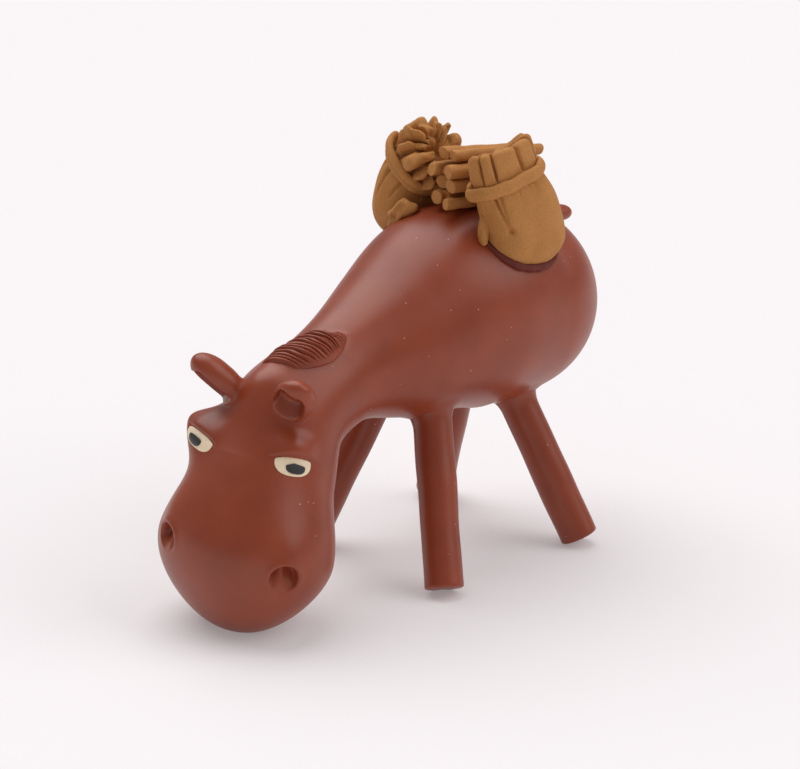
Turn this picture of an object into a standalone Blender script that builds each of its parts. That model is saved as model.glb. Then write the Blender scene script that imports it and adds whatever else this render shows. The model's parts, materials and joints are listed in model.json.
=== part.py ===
"""Clay donkey tea pet: a hollow red stoneware donkey that rests its muzzle on the ground
and carries two tied sacks and a stack of firewood, all luted together with slip.

Metres, +Z up. The donkey faces -Y and its left side is +X.
"""
import math

import bmesh
import bpy
from mathutils import Matrix, Vector

# Clay joints: every luted piece is coped to its seat and keeps this gap to it
JOINT_GAP = 0.0003
WALL = 0.0042

# Centre line of the torso from rump to poll: (place along Y, height over the barrel's centre)
BODY_HEIGHT = 0.0647
RUMP_END = (0.0655, 0.0003)
HIP = (0.0395, -0.0012)
BARREL = (0.0190, 0.0000)
SHOULDER = (-0.0020, -0.0039)
NECK = (-0.0270, -0.0087)
POLL = (-0.0410, -0.0152)

# Centre line of the head down to the muzzle, whose end is rubbed flat: (place along Y, height over
# the ground)
BROW = (-0.0485, 0.0380)
MUZZLE = (-0.0563, 0.0209)
MUZZLE_END = (-0.0630, -0.0010)

# Half widths and half heights of the body's sections
HIP_RADIUS = 0.0262
BARREL_HALF_WIDTH = 0.0264
BARREL_HALF_HEIGHT = 0.0274
SHOULDER_RADIUS = 0.0213
NECK_RADIUS = 0.0135
POLL_HALF_WIDTH = 0.0147
POLL_HALF_HEIGHT = 0.0150
BROW_HALF_WIDTH = 0.0173
BROW_HALF_HEIGHT = 0.0175
MUZZLE_HALF_WIDTH = 0.0237
MUZZLE_HALF_HEIGHT = 0.0205
CHIN_HALF_WIDTH = 0.0225
CHIN_HALF_HEIGHT = 0.0147
VENT_RADIUS = 0.0018
VENT_BEHIND_SHOULDER = 0.0150

# Legs: hip point inside the body, its height over the barrel's centre, and foot on the ground;
# the right legs mirror the left
FRONT_HIP = (0.0066, 0.0039, -0.0134)
FRONT_FOOT = (0.0257, -0.0104)
REAR_HIP = (0.0053, 0.0318, -0.0142)
REAR_FOOT = (0.0266, 0.0427)
LEG_RADIUS = 0.0051
LEG_FLARE = 0.0013
LEG_FLARE_LENGTH = 0.0050
FOOT_FLAT_DEPTH = 0.0004

# Face: places measured down the centre line from the poll, angles from the crest of the head,
# and how far each pair is turned to the donkey's left, because the head looks aside
EYE_DROP = 0.0107
EYE_SPREAD = math.radians(49.5)
EYE_TURN = math.radians(11.5)
EYE_HALF_WIDTH = 0.0049
EYE_HALF_HEIGHT = 0.0040
EYE_BULGE = 0.0014
PUPIL_HALF_WIDTH = 0.0028
PUPIL_HALF_HEIGHT = 0.0019
PUPIL_BULGE = 0.0008
PUPIL_ASIDE = 0.0007
PUPIL_DROP = 0.0014
LID_HALF_WIDTH = 0.0066
LID_HALF_HEIGHT = 0.0046
LID_BULGE = 0.0030
LID_EDGE_ABOVE_EYE = 0.0012
NOSTRIL_DROP = 0.0350
NOSTRIL_SPREAD = math.radians(42.5)
NOSTRIL_TURN = math.radians(21.5)
NOSTRIL_RADIUS = 0.0036
NOSTRIL_DEPTH = 0.0028

# Ears, mane and tail
EAR_DROP = 0.0017
EAR_SPREAD = math.radians(31.0)
EAR_TURN = math.radians(10.5)
EAR_LENGTH = 0.0155
EAR_ROOT = 0.0030
EAR_HALF_WIDTH = 0.0054
EAR_HALF_THICKNESS = 0.0032
EAR_SWEEP = 0.06
EAR_ROOT_WIDTH_SHARE = 0.55
EAR_ROOT_THICKNESS_SHARE = 0.80
EAR_BASE_SHARE = 0.15
EAR_BASE_WIDTH_SHARE = 0.80
EAR_MIDDLE_SHARE = 0.45
EAR_MIDDLE_THICKNESS_SHARE = 0.90
EAR_TIP_WIDTH_SHARE = 0.75
EAR_TIP_THICKNESS_SHARE = 0.45
EAR_HOLLOW_DEPTH = 0.0024
EAR_HOLLOW_PLACE_SHARE = 0.52
EAR_HOLLOW_WIDTH_SHARE = 0.72
EAR_HOLLOW_LENGTH_SHARE = 0.36
MANE_LENGTH = 0.0180
MANE_BEHIND_POLL = 0.0100
MANE_HALF_WIDTH = 0.0052
MANE_HEIGHT = 0.0050
MANE_TURN = math.radians(8.0)
MANE_SLANT = math.radians(24.0)
TAIL_FROM_RUMP = 0.0080
TAIL_LENGTH = 0.0108
TAIL_ROOT = 0.0040
TAIL_RADIUS = 0.0025
TAIL_DROOP = math.radians(56.0)
TAIL_TAPER = 0.4

# Firewood: layers of uneven sticks lying along the back; the two waves, in radians from stick
# to stick, spread the sticks' thickness and the stagger of their ends
STICK_RADIUS = 0.0018
STICK_LENGTH = 0.0340
STICK_LAYERS = (3, 2, 3, 2)
STICK_STAGGER = 0.0024
STICK_VARIATION = 0.12
STICK_WAIST = 0.08
THICKNESS_WAVE = 1.7
STAGGER_WAVE = 2.4
STACK_MIDDLE = 0.0310
STACK_ASIDE = 0.0018
STACK_TILT = math.radians(5.5)

# Sacks: heights measured up the sack's own axis from its foot; the right one slumps over the firewood
SACK_HALF_WIDTH = {"left": 0.0142, "right": 0.0126}
SACK_HALF_THICKNESS = {"left": 0.0080, "right": 0.0084}
SACK_BULGE = {"left": 0.0005, "right": 0.0030}
SACK_FOOT_SINK = 0.0040
SACK_FOOT_SHARE = 0.80
SACK_BELLY_HEIGHT = 0.0110
WAIST_HEIGHT = 0.0232
WAIST_HALF_WIDTH = {"left": 0.0108, "right": 0.0080}
WAIST_HALF_THICKNESS = {"left": 0.0058, "right": 0.0080}
RUFF_LENGTH = 0.0080
RUFF_HALF_WIDTH = {"left": 0.0104, "right": 0.0094}
RUFF_HALF_THICKNESS = {"left": 0.0056, "right": 0.0100}
RUFF_DIP = 0.0030
RUFF_LEAN = {"left": math.radians(5.0), "right": math.radians(50.0)}
FORWARD_LEAN = {"left": math.radians(12.0), "right": math.radians(3.0)}
PLEAT_COUNT = 10
PLEAT_DEPTH = {"left": 0.0016, "right": 0.0022}
TIE_WIDTH = 0.0034
TIE_THICKNESS = 0.0020
SACK_PLACE = {"left": 0.0262, "right": 0.0255}
SACK_ANGLE = math.radians(55.0)
SLIP_RADIUS = 0.0013
SLIP_REACH = math.radians(100.0)
WAD_HALF_WIDTH = 0.0030
WAD_HALF_LENGTH = 0.0040
WAD_HEIGHT = 0.0050
WAD_AHEAD_OF_SACK = 0.0110
WAD_ANGLE = math.radians(33.0)

# Facets
BODY_SEGMENTS = 32
DOME_ROWS = 7
BODY_ROWS = 26
SHELL_ROWS = 12
SACK_SEGMENTS = 48
TIE_SEGMENTS = 36
TIE_SIDES = 6
LEG_SEGMENTS = 20
SMALL_SEGMENTS = 16
SLIP_SIDES = 10
STICK_SEGMENTS = 10
SMOOTH_ANGLE = math.radians(40.0)

RED_CLAY = ("red_stoneware", (0.210, 0.070, 0.045), 0.42)
TAN_CLAY = ("tan_clay", (0.370, 0.160, 0.060), 0.62)
CREAM_CLAY = ("cream_clay", (0.760, 0.590, 0.410), 0.50)
BLACK_CLAY = ("black_clay", (0.040, 0.038, 0.036), 0.35)
DARK_SLIP = ("dark_slip", (0.085, 0.022, 0.018), 0.50)


class Loft:
    """Elliptical sections strung on a smooth path; each end may close in a dome."""

    def __init__(self, stations, side, domed_end=True):
        self.points = [Vector(centre) for centre, _, _ in stations]
        self.widths = [width for _, width, _ in stations]
        self.heights = [height for _, _, height in stations]
        self.side = Vector(side)
        self.fold = None
        self.marks = [0.0]
        for start, end in zip(self.points, self.points[1:]):
            self.marks.append(self.marks[-1] + (end - start).length)
        self.length = self.marks[-1]
        self.first_dome = self.marks[1]
        self.last_dome = self.length - self.marks[-2] if domed_end else 0.0

    def slope(self, values, index):
        """Slope of the values at a station, weighted by its two spans."""
        last = len(values) - 1
        before = max(index - 1, 0)
        after = min(index + 1, last)
        if before == index or after == index:
            return (values[after] - values[before]) / (self.marks[after] - self.marks[before])
        front = self.marks[index] - self.marks[before]
        back = self.marks[after] - self.marks[index]
        front_slope = (values[index] - values[before]) / front
        back_slope = (values[after] - values[index]) / back
        return (front_slope * back + back_slope * front) / (front + back)

    def blend(self, values, distance):
        """Smooth value between stations (cubic Hermite)."""
        distance = min(max(distance, 0.0), self.length)
        index = 0
        while index < len(self.marks) - 2 and distance > self.marks[index + 1]:
            index += 1
        span = self.marks[index + 1] - self.marks[index]
        t = (distance - self.marks[index]) / span
        low, high = values[index], values[index + 1]
        leave = self.slope(values, index) * span
        arrive = self.slope(values, index + 1) * span
        rise = t * t * (3.0 - 2.0 * t)
        bend = leave * (t * (1.0 - t) ** 2) - arrive * (t * t * (1.0 - t))
        return low * (1.0 - rise) + high * rise + bend

    def frame(self, distance):
        """Path direction, side and up vectors at a distance along the path."""
        step = self.length / 2000.0
        low = max(distance - step, 0.0)
        high = min(distance + step, self.length)
        forward = (self.blend(self.points, high) - self.blend(self.points, low)).normalized()
        side = (self.side - forward * self.side.dot(forward)).normalized()
        return forward, side, forward.cross(side)

    def closing(self, distance, inset):
        """Share of the full section that is left inside a dome."""
        for dome, reach in ((self.first_dome, distance), (self.last_dome, self.length - distance)):
            if dome > inset and reach < dome:
                return math.sqrt(max(0.0, 1.0 - ((dome - reach) / (dome - inset)) ** 2))
        return 1.0

    def place(self, distance, angle, inset=0.0, share=1.0):
        """Point of the surface; angle 0 is up, a positive inset lies inside."""
        on_path = min(max(distance, 0.0), self.length)
        forward, side, up = self.frame(on_path)
        share *= self.closing(distance, inset)
        if self.fold:
            inset += self.fold(distance, angle)
        width = (self.blend(self.widths, distance) - inset) * share
        height = (self.blend(self.heights, distance) - inset) * share
        centre = self.blend(self.points, on_path) + forward * (distance - on_path)
        return centre + side * (width * math.sin(angle)) + up * (height * math.cos(angle))

    def seat(self, distance, angle):
        """Local frame on the surface: X across, Y along the path, Z outwards."""
        step = self.length / 1000.0
        turn = 0.01
        spot = self.place(distance, angle)
        along = self.place(distance + step, angle) - self.place(distance - step, angle)
        across = self.place(distance, angle + turn) - self.place(distance, angle - turn)
        out = across.cross(along).normalized()
        if out.dot(spot - self.blend(self.points, distance)) < 0.0:
            out.negate()
        along = (along - out * along.dot(out)).normalized()
        across = along.cross(out)
        turned = Matrix((across, along, out)).transposed().to_4x4()
        return Matrix.Translation(spot) @ turned

    def nearest(self, point):
        """Distance along the path at which it passes nearest to a point."""
        samples = 160

        def away(index):
            return (self.blend(self.points, self.length * index / samples) - point).length

        return self.length * min(range(samples + 1), key=away) / samples

    def holds(self, point):
        """True where the point lies inside the solid form."""
        distance = self.nearest(point)
        _, side, up = self.frame(distance)
        offset = point - self.blend(self.points, distance)
        share = max(self.closing(distance, 0.0), 1e-6)
        across = offset.dot(side) / (self.blend(self.widths, distance) * share)
        rise = offset.dot(up) / (self.blend(self.heights, distance) * share)
        return across * across + rise * rise < 1.0


def crossing(form, route):
    """Share of a route, from its start inside the form, at which it comes out of the form."""
    inside, outside = 0.0, 1.0
    for _ in range(24):
        middle = (inside + outside) / 2.0
        if form.holds(route(middle)):
            inside = middle
        else:
            outside = middle
    return outside


def clay(name, colour, roughness):
    """Unglazed fired clay."""
    material = bpy.data.materials.get(name)
    if material is None:
        material = bpy.data.materials.new(name)
        material.use_nodes = True
        shader = material.node_tree.nodes["Principled BSDF"]
        shader.inputs["Base Color"].default_value = (*colour, 1.0)
        shader.inputs["Roughness"].default_value = roughness
        shader.inputs["Metallic"].default_value = 0.0
    return material


def add_object(name, mesh, finish):
    """Close the mesh into a named object under the root."""
    mesh.normal_update()
    bmesh.ops.recalc_face_normals(mesh, faces=mesh.faces)
    data = bpy.data.meshes.new(name)
    mesh.to_mesh(data)
    mesh.free()
    data.shade_smooth()
    data.set_sharp_from_angle(angle=SMOOTH_ANGLE)
    piece = bpy.data.objects.new(name, data)
    piece.data.materials.append(clay(*finish))
    piece.parent = root
    bpy.context.scene.collection.objects.link(piece)
    return piece


def mapped_sphere(name, rows, segments, place, finish):
    """A sphere whose rows, pole to pole, are laid out by place(row, angle)."""
    mesh = bmesh.new()
    bmesh.ops.create_uvsphere(mesh, u_segments=segments, v_segments=rows, radius=1.0)
    for vert in mesh.verts:
        row = round(math.acos(max(-1.0, min(1.0, vert.co.z))) / math.pi * rows)
        vert.co = place(row, math.atan2(vert.co.x, vert.co.y))
    return add_object(name, mesh, finish)


def mapped_ring(name, steps, sides, place, finish):
    """A closed ring: a circle spun once round, laid out by place(angle, section angle)."""
    middle_radius = 2.0
    mesh = bmesh.new()
    turned = Matrix.Translation((middle_radius, 0.0, 0.0)) @ Matrix.Rotation(math.pi / 2.0, 4, "X")
    bmesh.ops.create_circle(mesh, segments=sides, radius=1.0, matrix=turned)
    bmesh.ops.spin(mesh, geom=mesh.verts[:] + mesh.edges[:], cent=(0.0, 0.0, 0.0), axis=(0.0, 0.0, 1.0),
                   angle=2.0 * math.pi, steps=steps, use_merge=True)
    for vert in mesh.verts:
        reach = math.hypot(vert.co.x, vert.co.y) - middle_radius
        vert.co = place(math.atan2(vert.co.x, vert.co.y), math.atan2(vert.co.z, reach))
    return add_object(name, mesh, finish)


def bulge(name, seat, half_sizes, finish, segments=SMALL_SEGMENTS):
    """An ellipsoid pressed onto a seat."""
    mesh = bmesh.new()
    scaled = seat @ Matrix.Diagonal((*half_sizes, 1.0))
    bmesh.ops.create_uvsphere(mesh, u_segments=segments, v_segments=segments // 2, radius=1.0, matrix=scaled)
    return add_object(name, mesh, finish)


def cutter(piece):
    """Turn a form into a cutting guide."""
    piece.hide_render = True
    piece.display_type = "WIRE"
    return piece


def trim(piece, *guides):
    """Cope a piece to the forms it seats on."""
    for guide in guides:
        cut = piece.modifiers.new("seat_" + guide.name, "BOOLEAN")
        cut.operation = "DIFFERENCE"
        cut.solver = "EXACT"
        cut.object = guide


def dome_rows(dome, depth, dome_count, wall_count):
    """Distances from a dome's tip down to a depth, closer together on the dome."""
    rows = [dome * (1.0 - math.cos(math.pi / 2.0 * i / dome_count)) for i in range(dome_count + 1)]
    return rows + [dome + (depth - dome) * i / wall_count for i in range(1, wall_count + 1)]


def body_form():
    """The whole donkey's body as one loft from rump to muzzle."""
    torso = {"rump": (RUMP_END, HIP_RADIUS, HIP_RADIUS),
             "hip": (HIP, HIP_RADIUS, HIP_RADIUS),
             "barrel": (BARREL, BARREL_HALF_WIDTH, BARREL_HALF_HEIGHT),
             "shoulder": (SHOULDER, SHOULDER_RADIUS, SHOULDER_RADIUS),
             "neck": (NECK, NECK_RADIUS, NECK_RADIUS),
             "poll": (POLL, POLL_HALF_WIDTH, POLL_HALF_HEIGHT)}
    head = {"brow": (BROW, BROW_HALF_WIDTH, BROW_HALF_HEIGHT),
            "muzzle": (MUZZLE, MUZZLE_HALF_WIDTH, MUZZLE_HALF_HEIGHT),
            "muzzle_end": (MUZZLE_END, CHIN_HALF_WIDTH, CHIN_HALF_HEIGHT)}
    stations = [((0.0, place[0], BODY_HEIGHT + place[1]), width, height)
                for place, width, height in torso.values()]
    stations += [((0.0, *place), width, height) for place, width, height in head.values()]
    form = Loft(stations, (1.0, 0.0, 0.0))
    form.mark = dict(zip([*torso, *head], form.marks))
    return form


def solid_guide(name, form, inset):
    """Solid copy of a domed form, grown by a negative inset."""
    rows = dome_rows(form.first_dome, form.length - form.last_dome, DOME_ROWS, BODY_ROWS)
    end_dome = dome_rows(form.last_dome, form.last_dome, DOME_ROWS, 0)
    rows += [form.length - row for row in end_dome[-2::-1]]
    stretch = (form.length - 2.0 * inset) / form.length

    def place(row, angle):
        return form.place(inset + rows[row] * stretch, angle, inset)

    return cutter(mapped_sphere(name, len(rows) - 1, BODY_SEGMENTS, place, DARK_SLIP))


def shell(name, form, dome, depth, from_end, finish):
    """A cup with a domed closed end and a flat open rim, a wall thick."""
    outer = dome_rows(dome, depth, DOME_ROWS, SHELL_ROWS)
    inside = dome_rows(dome, depth, DOME_ROWS // 2, SHELL_ROWS // 2)
    inner = [WALL + row * (depth - WALL) / depth for row in inside]
    rows = [(row, 0.0) for row in outer] + [(row, WALL) for row in reversed(inner)]

    def place(row, angle):
        distance, inset = rows[row]
        return form.place(form.length - distance if from_end else distance, angle, inset)

    return mapped_sphere(name, len(rows) - 1, BODY_SEGMENTS, place, finish)


def ground_guide(body):
    """Slab under the ground that rubs the muzzle and the feet flat."""
    size = body.length * 2.0
    mesh = bmesh.new()
    spot = Matrix.Translation((0.0, 0.0, -size / 2.0)) @ Matrix.Scale(size, 4)
    bmesh.ops.create_cube(mesh, size=1.0, matrix=spot)
    return cutter(add_object("ground_guide", mesh, DARK_SLIP))


def make_torso(body):
    """Hollow barrel from the rump to the neck joint, with a vent hole in the belly."""
    depth = body.mark["neck"] - JOINT_GAP / 2.0
    torso = shell("torso_shell", body, body.first_dome, depth, False, RED_CLAY)
    spot = body.seat(body.mark["shoulder"] - VENT_BEHIND_SHOULDER, math.pi)
    mesh = bmesh.new()
    bmesh.ops.create_cone(mesh, cap_ends=True, segments=SMALL_SEGMENTS, radius1=VENT_RADIUS,
                          radius2=VENT_RADIUS, depth=WALL * 4.0, matrix=spot)
    trim(torso, cutter(add_object("vent_guide", mesh, RED_CLAY)))


def face_seat(body, drop, spread, turn, sign):
    """Seat on the head for one of a pair: drop from the poll, angle from the turned crest."""
    return body.seat(body.mark["poll"] + drop, turn + sign * spread)


def make_head(body, ground):
    """Hollow head from the neck joint to the muzzle, with two pressed nostrils."""
    depth = body.length - body.mark["neck"] - JOINT_GAP / 2.0
    head = shell("head_shell", body, body.last_dome, depth, True, RED_CLAY)
    for side, sign in SIDES:
        seat = face_seat(body, NOSTRIL_DROP, NOSTRIL_SPREAD, NOSTRIL_TURN, sign)
        dent_size = (NOSTRIL_RADIUS, NOSTRIL_RADIUS, NOSTRIL_DEPTH)
        trim(head, cutter(bulge("nostril_guide_" + side, seat, dent_size, RED_CLAY)))
    trim(head, ground)


def make_eye(body, host, side, sign):
    """Heavy lid, cream eye and black pupil, each lapped over the one before."""
    eye_seat = face_seat(body, EYE_DROP, EYE_SPREAD, EYE_TURN, sign)
    lid_rise = LID_EDGE_ABOVE_EYE + LID_HALF_HEIGHT
    lid_seat = eye_seat @ Matrix.Translation((0.0, -lid_rise, 0.0))
    pupil_seat = eye_seat @ Matrix.Translation((-sign * PUPIL_ASIDE, PUPIL_DROP, EYE_BULGE))
    lid_size = Vector((LID_HALF_WIDTH, LID_HALF_HEIGHT, LID_BULGE))
    eye_size = Vector((EYE_HALF_WIDTH, EYE_HALF_HEIGHT, EYE_BULGE))
    pupil_size = (PUPIL_HALF_WIDTH, PUPIL_HALF_HEIGHT, PUPIL_BULGE)
    grown = Vector((JOINT_GAP, JOINT_GAP, JOINT_GAP))
    lid_guide = cutter(bulge("lid_guide_" + side, lid_seat, lid_size + grown, RED_CLAY))
    eye_guide = cutter(bulge("eye_guide_" + side, eye_seat, eye_size + grown, RED_CLAY))
    trim(bulge("eyelid_" + side, lid_seat, lid_size, RED_CLAY), host)
    trim(bulge("eye_white_" + side, eye_seat, eye_size, CREAM_CLAY), host, lid_guide)
    trim(bulge("pupil_" + side, pupil_seat, pupil_size, BLACK_CLAY), host, lid_guide, eye_guide)
    return lid_guide


def make_ear(body, host, lid_guide, side, sign):
    """Leaf-shaped ear with a pressed hollow on its lower side, seated on the head and the lid."""
    seat = face_seat(body, EAR_DROP, EAR_SPREAD, EAR_TURN, sign)
    spot = seat.to_translation()
    across, along, out = (seat.col[i].to_3d() for i in range(3))
    axis = (out - along * EAR_SWEEP).normalized()
    leaf = ((-EAR_ROOT, EAR_ROOT_WIDTH_SHARE, EAR_ROOT_THICKNESS_SHARE),
            (EAR_LENGTH * EAR_BASE_SHARE, EAR_BASE_WIDTH_SHARE, 1.0),
            (EAR_LENGTH * EAR_MIDDLE_SHARE, 1.0, EAR_MIDDLE_THICKNESS_SHARE),
            (EAR_LENGTH, EAR_TIP_WIDTH_SHARE, EAR_TIP_THICKNESS_SHARE))
    form = Loft([(spot + axis * reach, EAR_HALF_WIDTH * width, EAR_HALF_THICKNESS * thick)
                 for reach, width, thick in leaf], across)
    rows = dome_rows(form.first_dome, form.length - form.last_dome, 2, 4)
    tip_dome = dome_rows(form.last_dome, form.last_dome, 5, 0)
    rows += [form.length - row for row in tip_dome[-2::-1]]

    def place(row, angle):
        return form.place(rows[row], angle)

    ear = mapped_sphere("ear_" + side, len(rows) - 1, SMALL_SEGMENTS, place, RED_CLAY)
    lower = axis.cross(across)
    if lower.dot(along) < 0.0:
        lower.negate()
    hollow_spot = spot + axis * (EAR_LENGTH * EAR_HOLLOW_PLACE_SHARE) + lower * EAR_HALF_THICKNESS
    hollow_seat = Matrix.Translation(hollow_spot) @ Matrix((across, axis, lower)).transposed().to_4x4()
    hollow_size = (EAR_HALF_WIDTH * EAR_HOLLOW_WIDTH_SHARE, EAR_LENGTH * EAR_HOLLOW_LENGTH_SHARE,
                   EAR_HOLLOW_DEPTH)
    trim(ear, host, lid_guide, cutter(bulge("ear_guide_" + side, hollow_seat, hollow_size, RED_CLAY)))


def make_mane(body, host):
    """Boat-shaped crest that laps over the neck joint."""
    rows = 16
    middle = body.mark["poll"] - MANE_BEHIND_POLL

    def place(row, angle):
        t = row / rows
        seat = body.seat(middle + MANE_LENGTH * (t - 0.5), MANE_TURN - MANE_SLANT * (t - 0.5))
        swell = math.sin(math.pi * t ** 0.75) ** 0.7
        aside = MANE_HALF_WIDTH * swell * math.sin(angle)
        lift = MANE_HEIGHT * swell * math.cos(angle)
        return seat @ Vector((aside, 0.0, lift))

    trim(mapped_sphere("mane", rows, SMALL_SEGMENTS, place, RED_CLAY), host)


def make_tail(body, host):
    """Short tongue of a tail that lies down the rump."""
    seat = body.seat(TAIL_FROM_RUMP, 0.0) @ Matrix.Rotation(TAIL_DROOP, 4, "X")
    rows = 8

    def place(row, angle):
        t = row / rows
        radius = TAIL_RADIUS * math.sqrt(abs(math.sin(math.pi * t))) * (1.0 + TAIL_TAPER * (0.5 - t))
        reach = (TAIL_ROOT + TAIL_LENGTH) * t - TAIL_ROOT
        return seat @ Vector((radius * math.sin(angle), radius * math.cos(angle), reach))

    trim(mapped_sphere("tail", rows, SMALL_SEGMENTS, place, RED_CLAY), host)


def make_leg(body, host, ground, name, hip, foot, sign):
    """Rolled leg, flared where it is luted to the body, cut square and rubbed flat at the foot."""
    hip = Vector((hip[0] * sign, hip[1], BODY_HEIGHT + hip[2]))
    foot = Vector((foot[0] * sign, foot[1], 0.0))
    axis = (hip - foot).normalized()
    lift = LEG_RADIUS * math.sqrt(1.0 - axis.z ** 2) - FOOT_FLAT_DEPTH
    foot += axis * (lift / axis.z)
    length = (hip - foot).length
    root_reach = length * (1.0 - crossing(body, lambda share: hip.lerp(foot, share)))
    side = axis.orthogonal().normalized()
    across = axis.cross(side)
    rows = [0.0, 0.0] + [root_reach * i / 4 for i in range(1, 4)]
    rows += [root_reach - LEG_FLARE_LENGTH * (1.0 - i / 3) for i in range(4)]
    rows += [root_reach + LEG_FLARE_LENGTH, root_reach + LEG_FLARE_LENGTH]
    rows.sort()

    def place(row, angle):
        reach = rows[row]
        flare = max(0.0, 1.0 - max(root_reach - reach, 0.0) / LEG_FLARE_LENGTH)
        radius = LEG_RADIUS + LEG_FLARE * flare * flare
        if row in (0, len(rows) - 1):
            radius = 0.0
        return foot + axis * reach + side * (radius * math.sin(angle)) + across * (radius * math.cos(angle))

    trim(mapped_sphere(name, len(rows) - 1, LEG_SEGMENTS, place, RED_CLAY), host, ground)


def pleats(waist, side):
    """Depth of the thin grooves between the pleats of a ruff, fading out at the waist."""
    def pleat(distance, angle):
        open_height = waist + TIE_WIDTH / 2.0
        fade = min(max((distance - open_height) / (RUFF_LENGTH - TIE_WIDTH / 2.0), 0.0), 1.0)
        groove = abs(math.cos(angle * PLEAT_COUNT / 2.0)) ** 8
        return PLEAT_DEPTH[side] * groove * math.sqrt(fade)
    return pleat


def sack_form(body, side, sign):
    """Sack that stands on the flank and leans against the firewood."""
    foot = body.seat(along_body(body, SACK_PLACE[side]), sign * SACK_ANGLE)
    start = foot @ Vector((0.0, 0.0, -SACK_FOOT_SINK))
    stack_side = max(STICK_LAYERS) * thickest_stick() / 2.0 + sign * STACK_ASIDE
    waist_aside = stack_side + WAIST_HALF_THICKNESS[side] + TIE_THICKNESS + JOINT_GAP
    lean = math.asin((start.x * sign - waist_aside) / WAIST_HEIGHT)
    ruff_lean = lean + RUFF_LEAN[side]
    ahead = -math.tan(FORWARD_LEAN[side])
    axis = Vector((-sign * math.sin(lean), ahead, math.cos(lean))).normalized()
    ruff_axis = Vector((-sign * math.sin(ruff_lean), ahead, math.cos(ruff_lean))).normalized()
    belly = start + axis * SACK_BELLY_HEIGHT + Vector((sign * SACK_BULGE[side], 0.0, 0.0))
    waist = start + axis * WAIST_HEIGHT
    width = SACK_HALF_WIDTH[side]
    thickness = SACK_HALF_THICKNESS[side]
    stations = ((start, width * SACK_FOOT_SHARE, thickness * SACK_FOOT_SHARE),
                (belly, width, thickness),
                (waist, WAIST_HALF_WIDTH[side], WAIST_HALF_THICKNESS[side]),
                (waist + ruff_axis * RUFF_LENGTH, RUFF_HALF_WIDTH[side], RUFF_HALF_THICKNESS[side]))
    form = Loft(stations, (0.0, -sign, 0.0), domed_end=False)
    form.waist = form.marks[2]
    form.fold = pleats(form.waist, side)
    return form


def along_body(body, place):
    """Distance along the body's path at a given place along Y, on the straight back."""
    return body.mark["hip"] + HIP[0] - place


def make_sack(body, host, stick_guides, side, sign):
    """Pleated sack, its tie, the slip squeezed out at its foot and the wad that props it."""
    form = sack_form(body, side, sign)
    bag_rows = dome_rows(form.first_dome, form.waist, 6, 5)
    ruff_rows = [form.waist + RUFF_LENGTH * i / 5 for i in range(1, 6)]
    rows = [(row, 1.0) for row in bag_rows + ruff_rows]
    rows += [(form.length - RUFF_DIP * dip, 1.0 - dip) for dip in (0.25, 0.6, 1.0)]
    axis = form.frame(form.waist)[0]

    def sack_place(row, angle):
        distance, share = rows[row]
        return form.place(distance, angle, share=share)

    def tie_place(grow):
        def place_on_tie(angle, section):
            out = (TIE_THICKNESS / 2.0 + grow) * math.cos(section)
            rise = (TIE_WIDTH / 2.0 + grow) * math.sin(section)
            spot = form.place(form.waist, angle, -TIE_THICKNESS / 2.0 - out)
            return spot + axis * rise
        return place_on_tie

    tie_guide = mapped_ring("tie_guide_" + side, TIE_SEGMENTS, TIE_SIDES, tie_place(JOINT_GAP), DARK_SLIP)
    mapped_ring("sack_tie_" + side, TIE_SEGMENTS, TIE_SIDES, tie_place(0.0), TAN_CLAY)
    sack = mapped_sphere("sack_" + side, len(rows) - 1, SACK_SEGMENTS, sack_place, TAN_CLAY)
    trim(sack, host, cutter(tie_guide), *stick_guides)

    def guide_place(row, angle):
        distance, share = rows[row]
        return form.place(distance, angle, -JOINT_GAP, share)

    sack_guide = mapped_sphere("sack_guide_" + side, len(rows) - 1, SACK_SEGMENTS, guide_place, DARK_SLIP)
    make_slip(body, host, form, cutter(sack_guide), side)
    wad_seat = body.seat(along_body(body, SACK_PLACE[side] - WAD_AHEAD_OF_SACK), sign * WAD_ANGLE)
    wad = bulge("sack_wad_" + side, wad_seat, (WAD_HALF_WIDTH, WAD_HALF_LENGTH, WAD_HEIGHT), TAN_CLAY)
    trim(wad, host, sack_guide)


def make_slip(body, host, form, sack_guide, side):
    """Bead of dark slip along the seam between a sack's foot and the flank."""
    rows = 28
    seam = []
    for i in range(rows + 1):
        around = SLIP_REACH * (2.0 * i / rows - 1.0)
        share = crossing(body, lambda t: form.place(form.waist * t, around))
        seam.append(form.place(form.waist * share, around))

    def place(row, angle):
        before = seam[max(row - 1, 0)]
        after = seam[min(row + 1, rows)]
        run = (after - before).normalized()
        outwards = seam[row] - body.blend(body.points, body.nearest(seam[row]))
        side_way = run.cross(outwards).normalized()
        radius = SLIP_RADIUS * abs(math.sin(math.pi * row / rows)) ** 0.4
        offset = side_way * math.sin(angle) + side_way.cross(run) * math.cos(angle)
        return seam[row] + offset * radius

    bead = mapped_sphere("slip_bead_" + side, rows, SLIP_SIDES, place, DARK_SLIP)
    trim(bead, host, sack_guide)


def thickest_stick():
    """Room that the thickest stick takes up in a layer."""
    return 2.0 * STICK_RADIUS * (1.0 + STICK_VARIATION) + JOINT_GAP


def resting_height(aside, radius, laid):
    """Height at which a stick, set down at a place, comes to rest on the round forms below it."""
    heights = []
    for below_aside, below_height, below_radius in laid:
        apart = radius + below_radius + JOINT_GAP
        shift = abs(aside - below_aside)
        if shift < apart:
            heights.append(below_height + math.sqrt(apart * apart - shift * shift))
    return max(heights)


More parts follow.
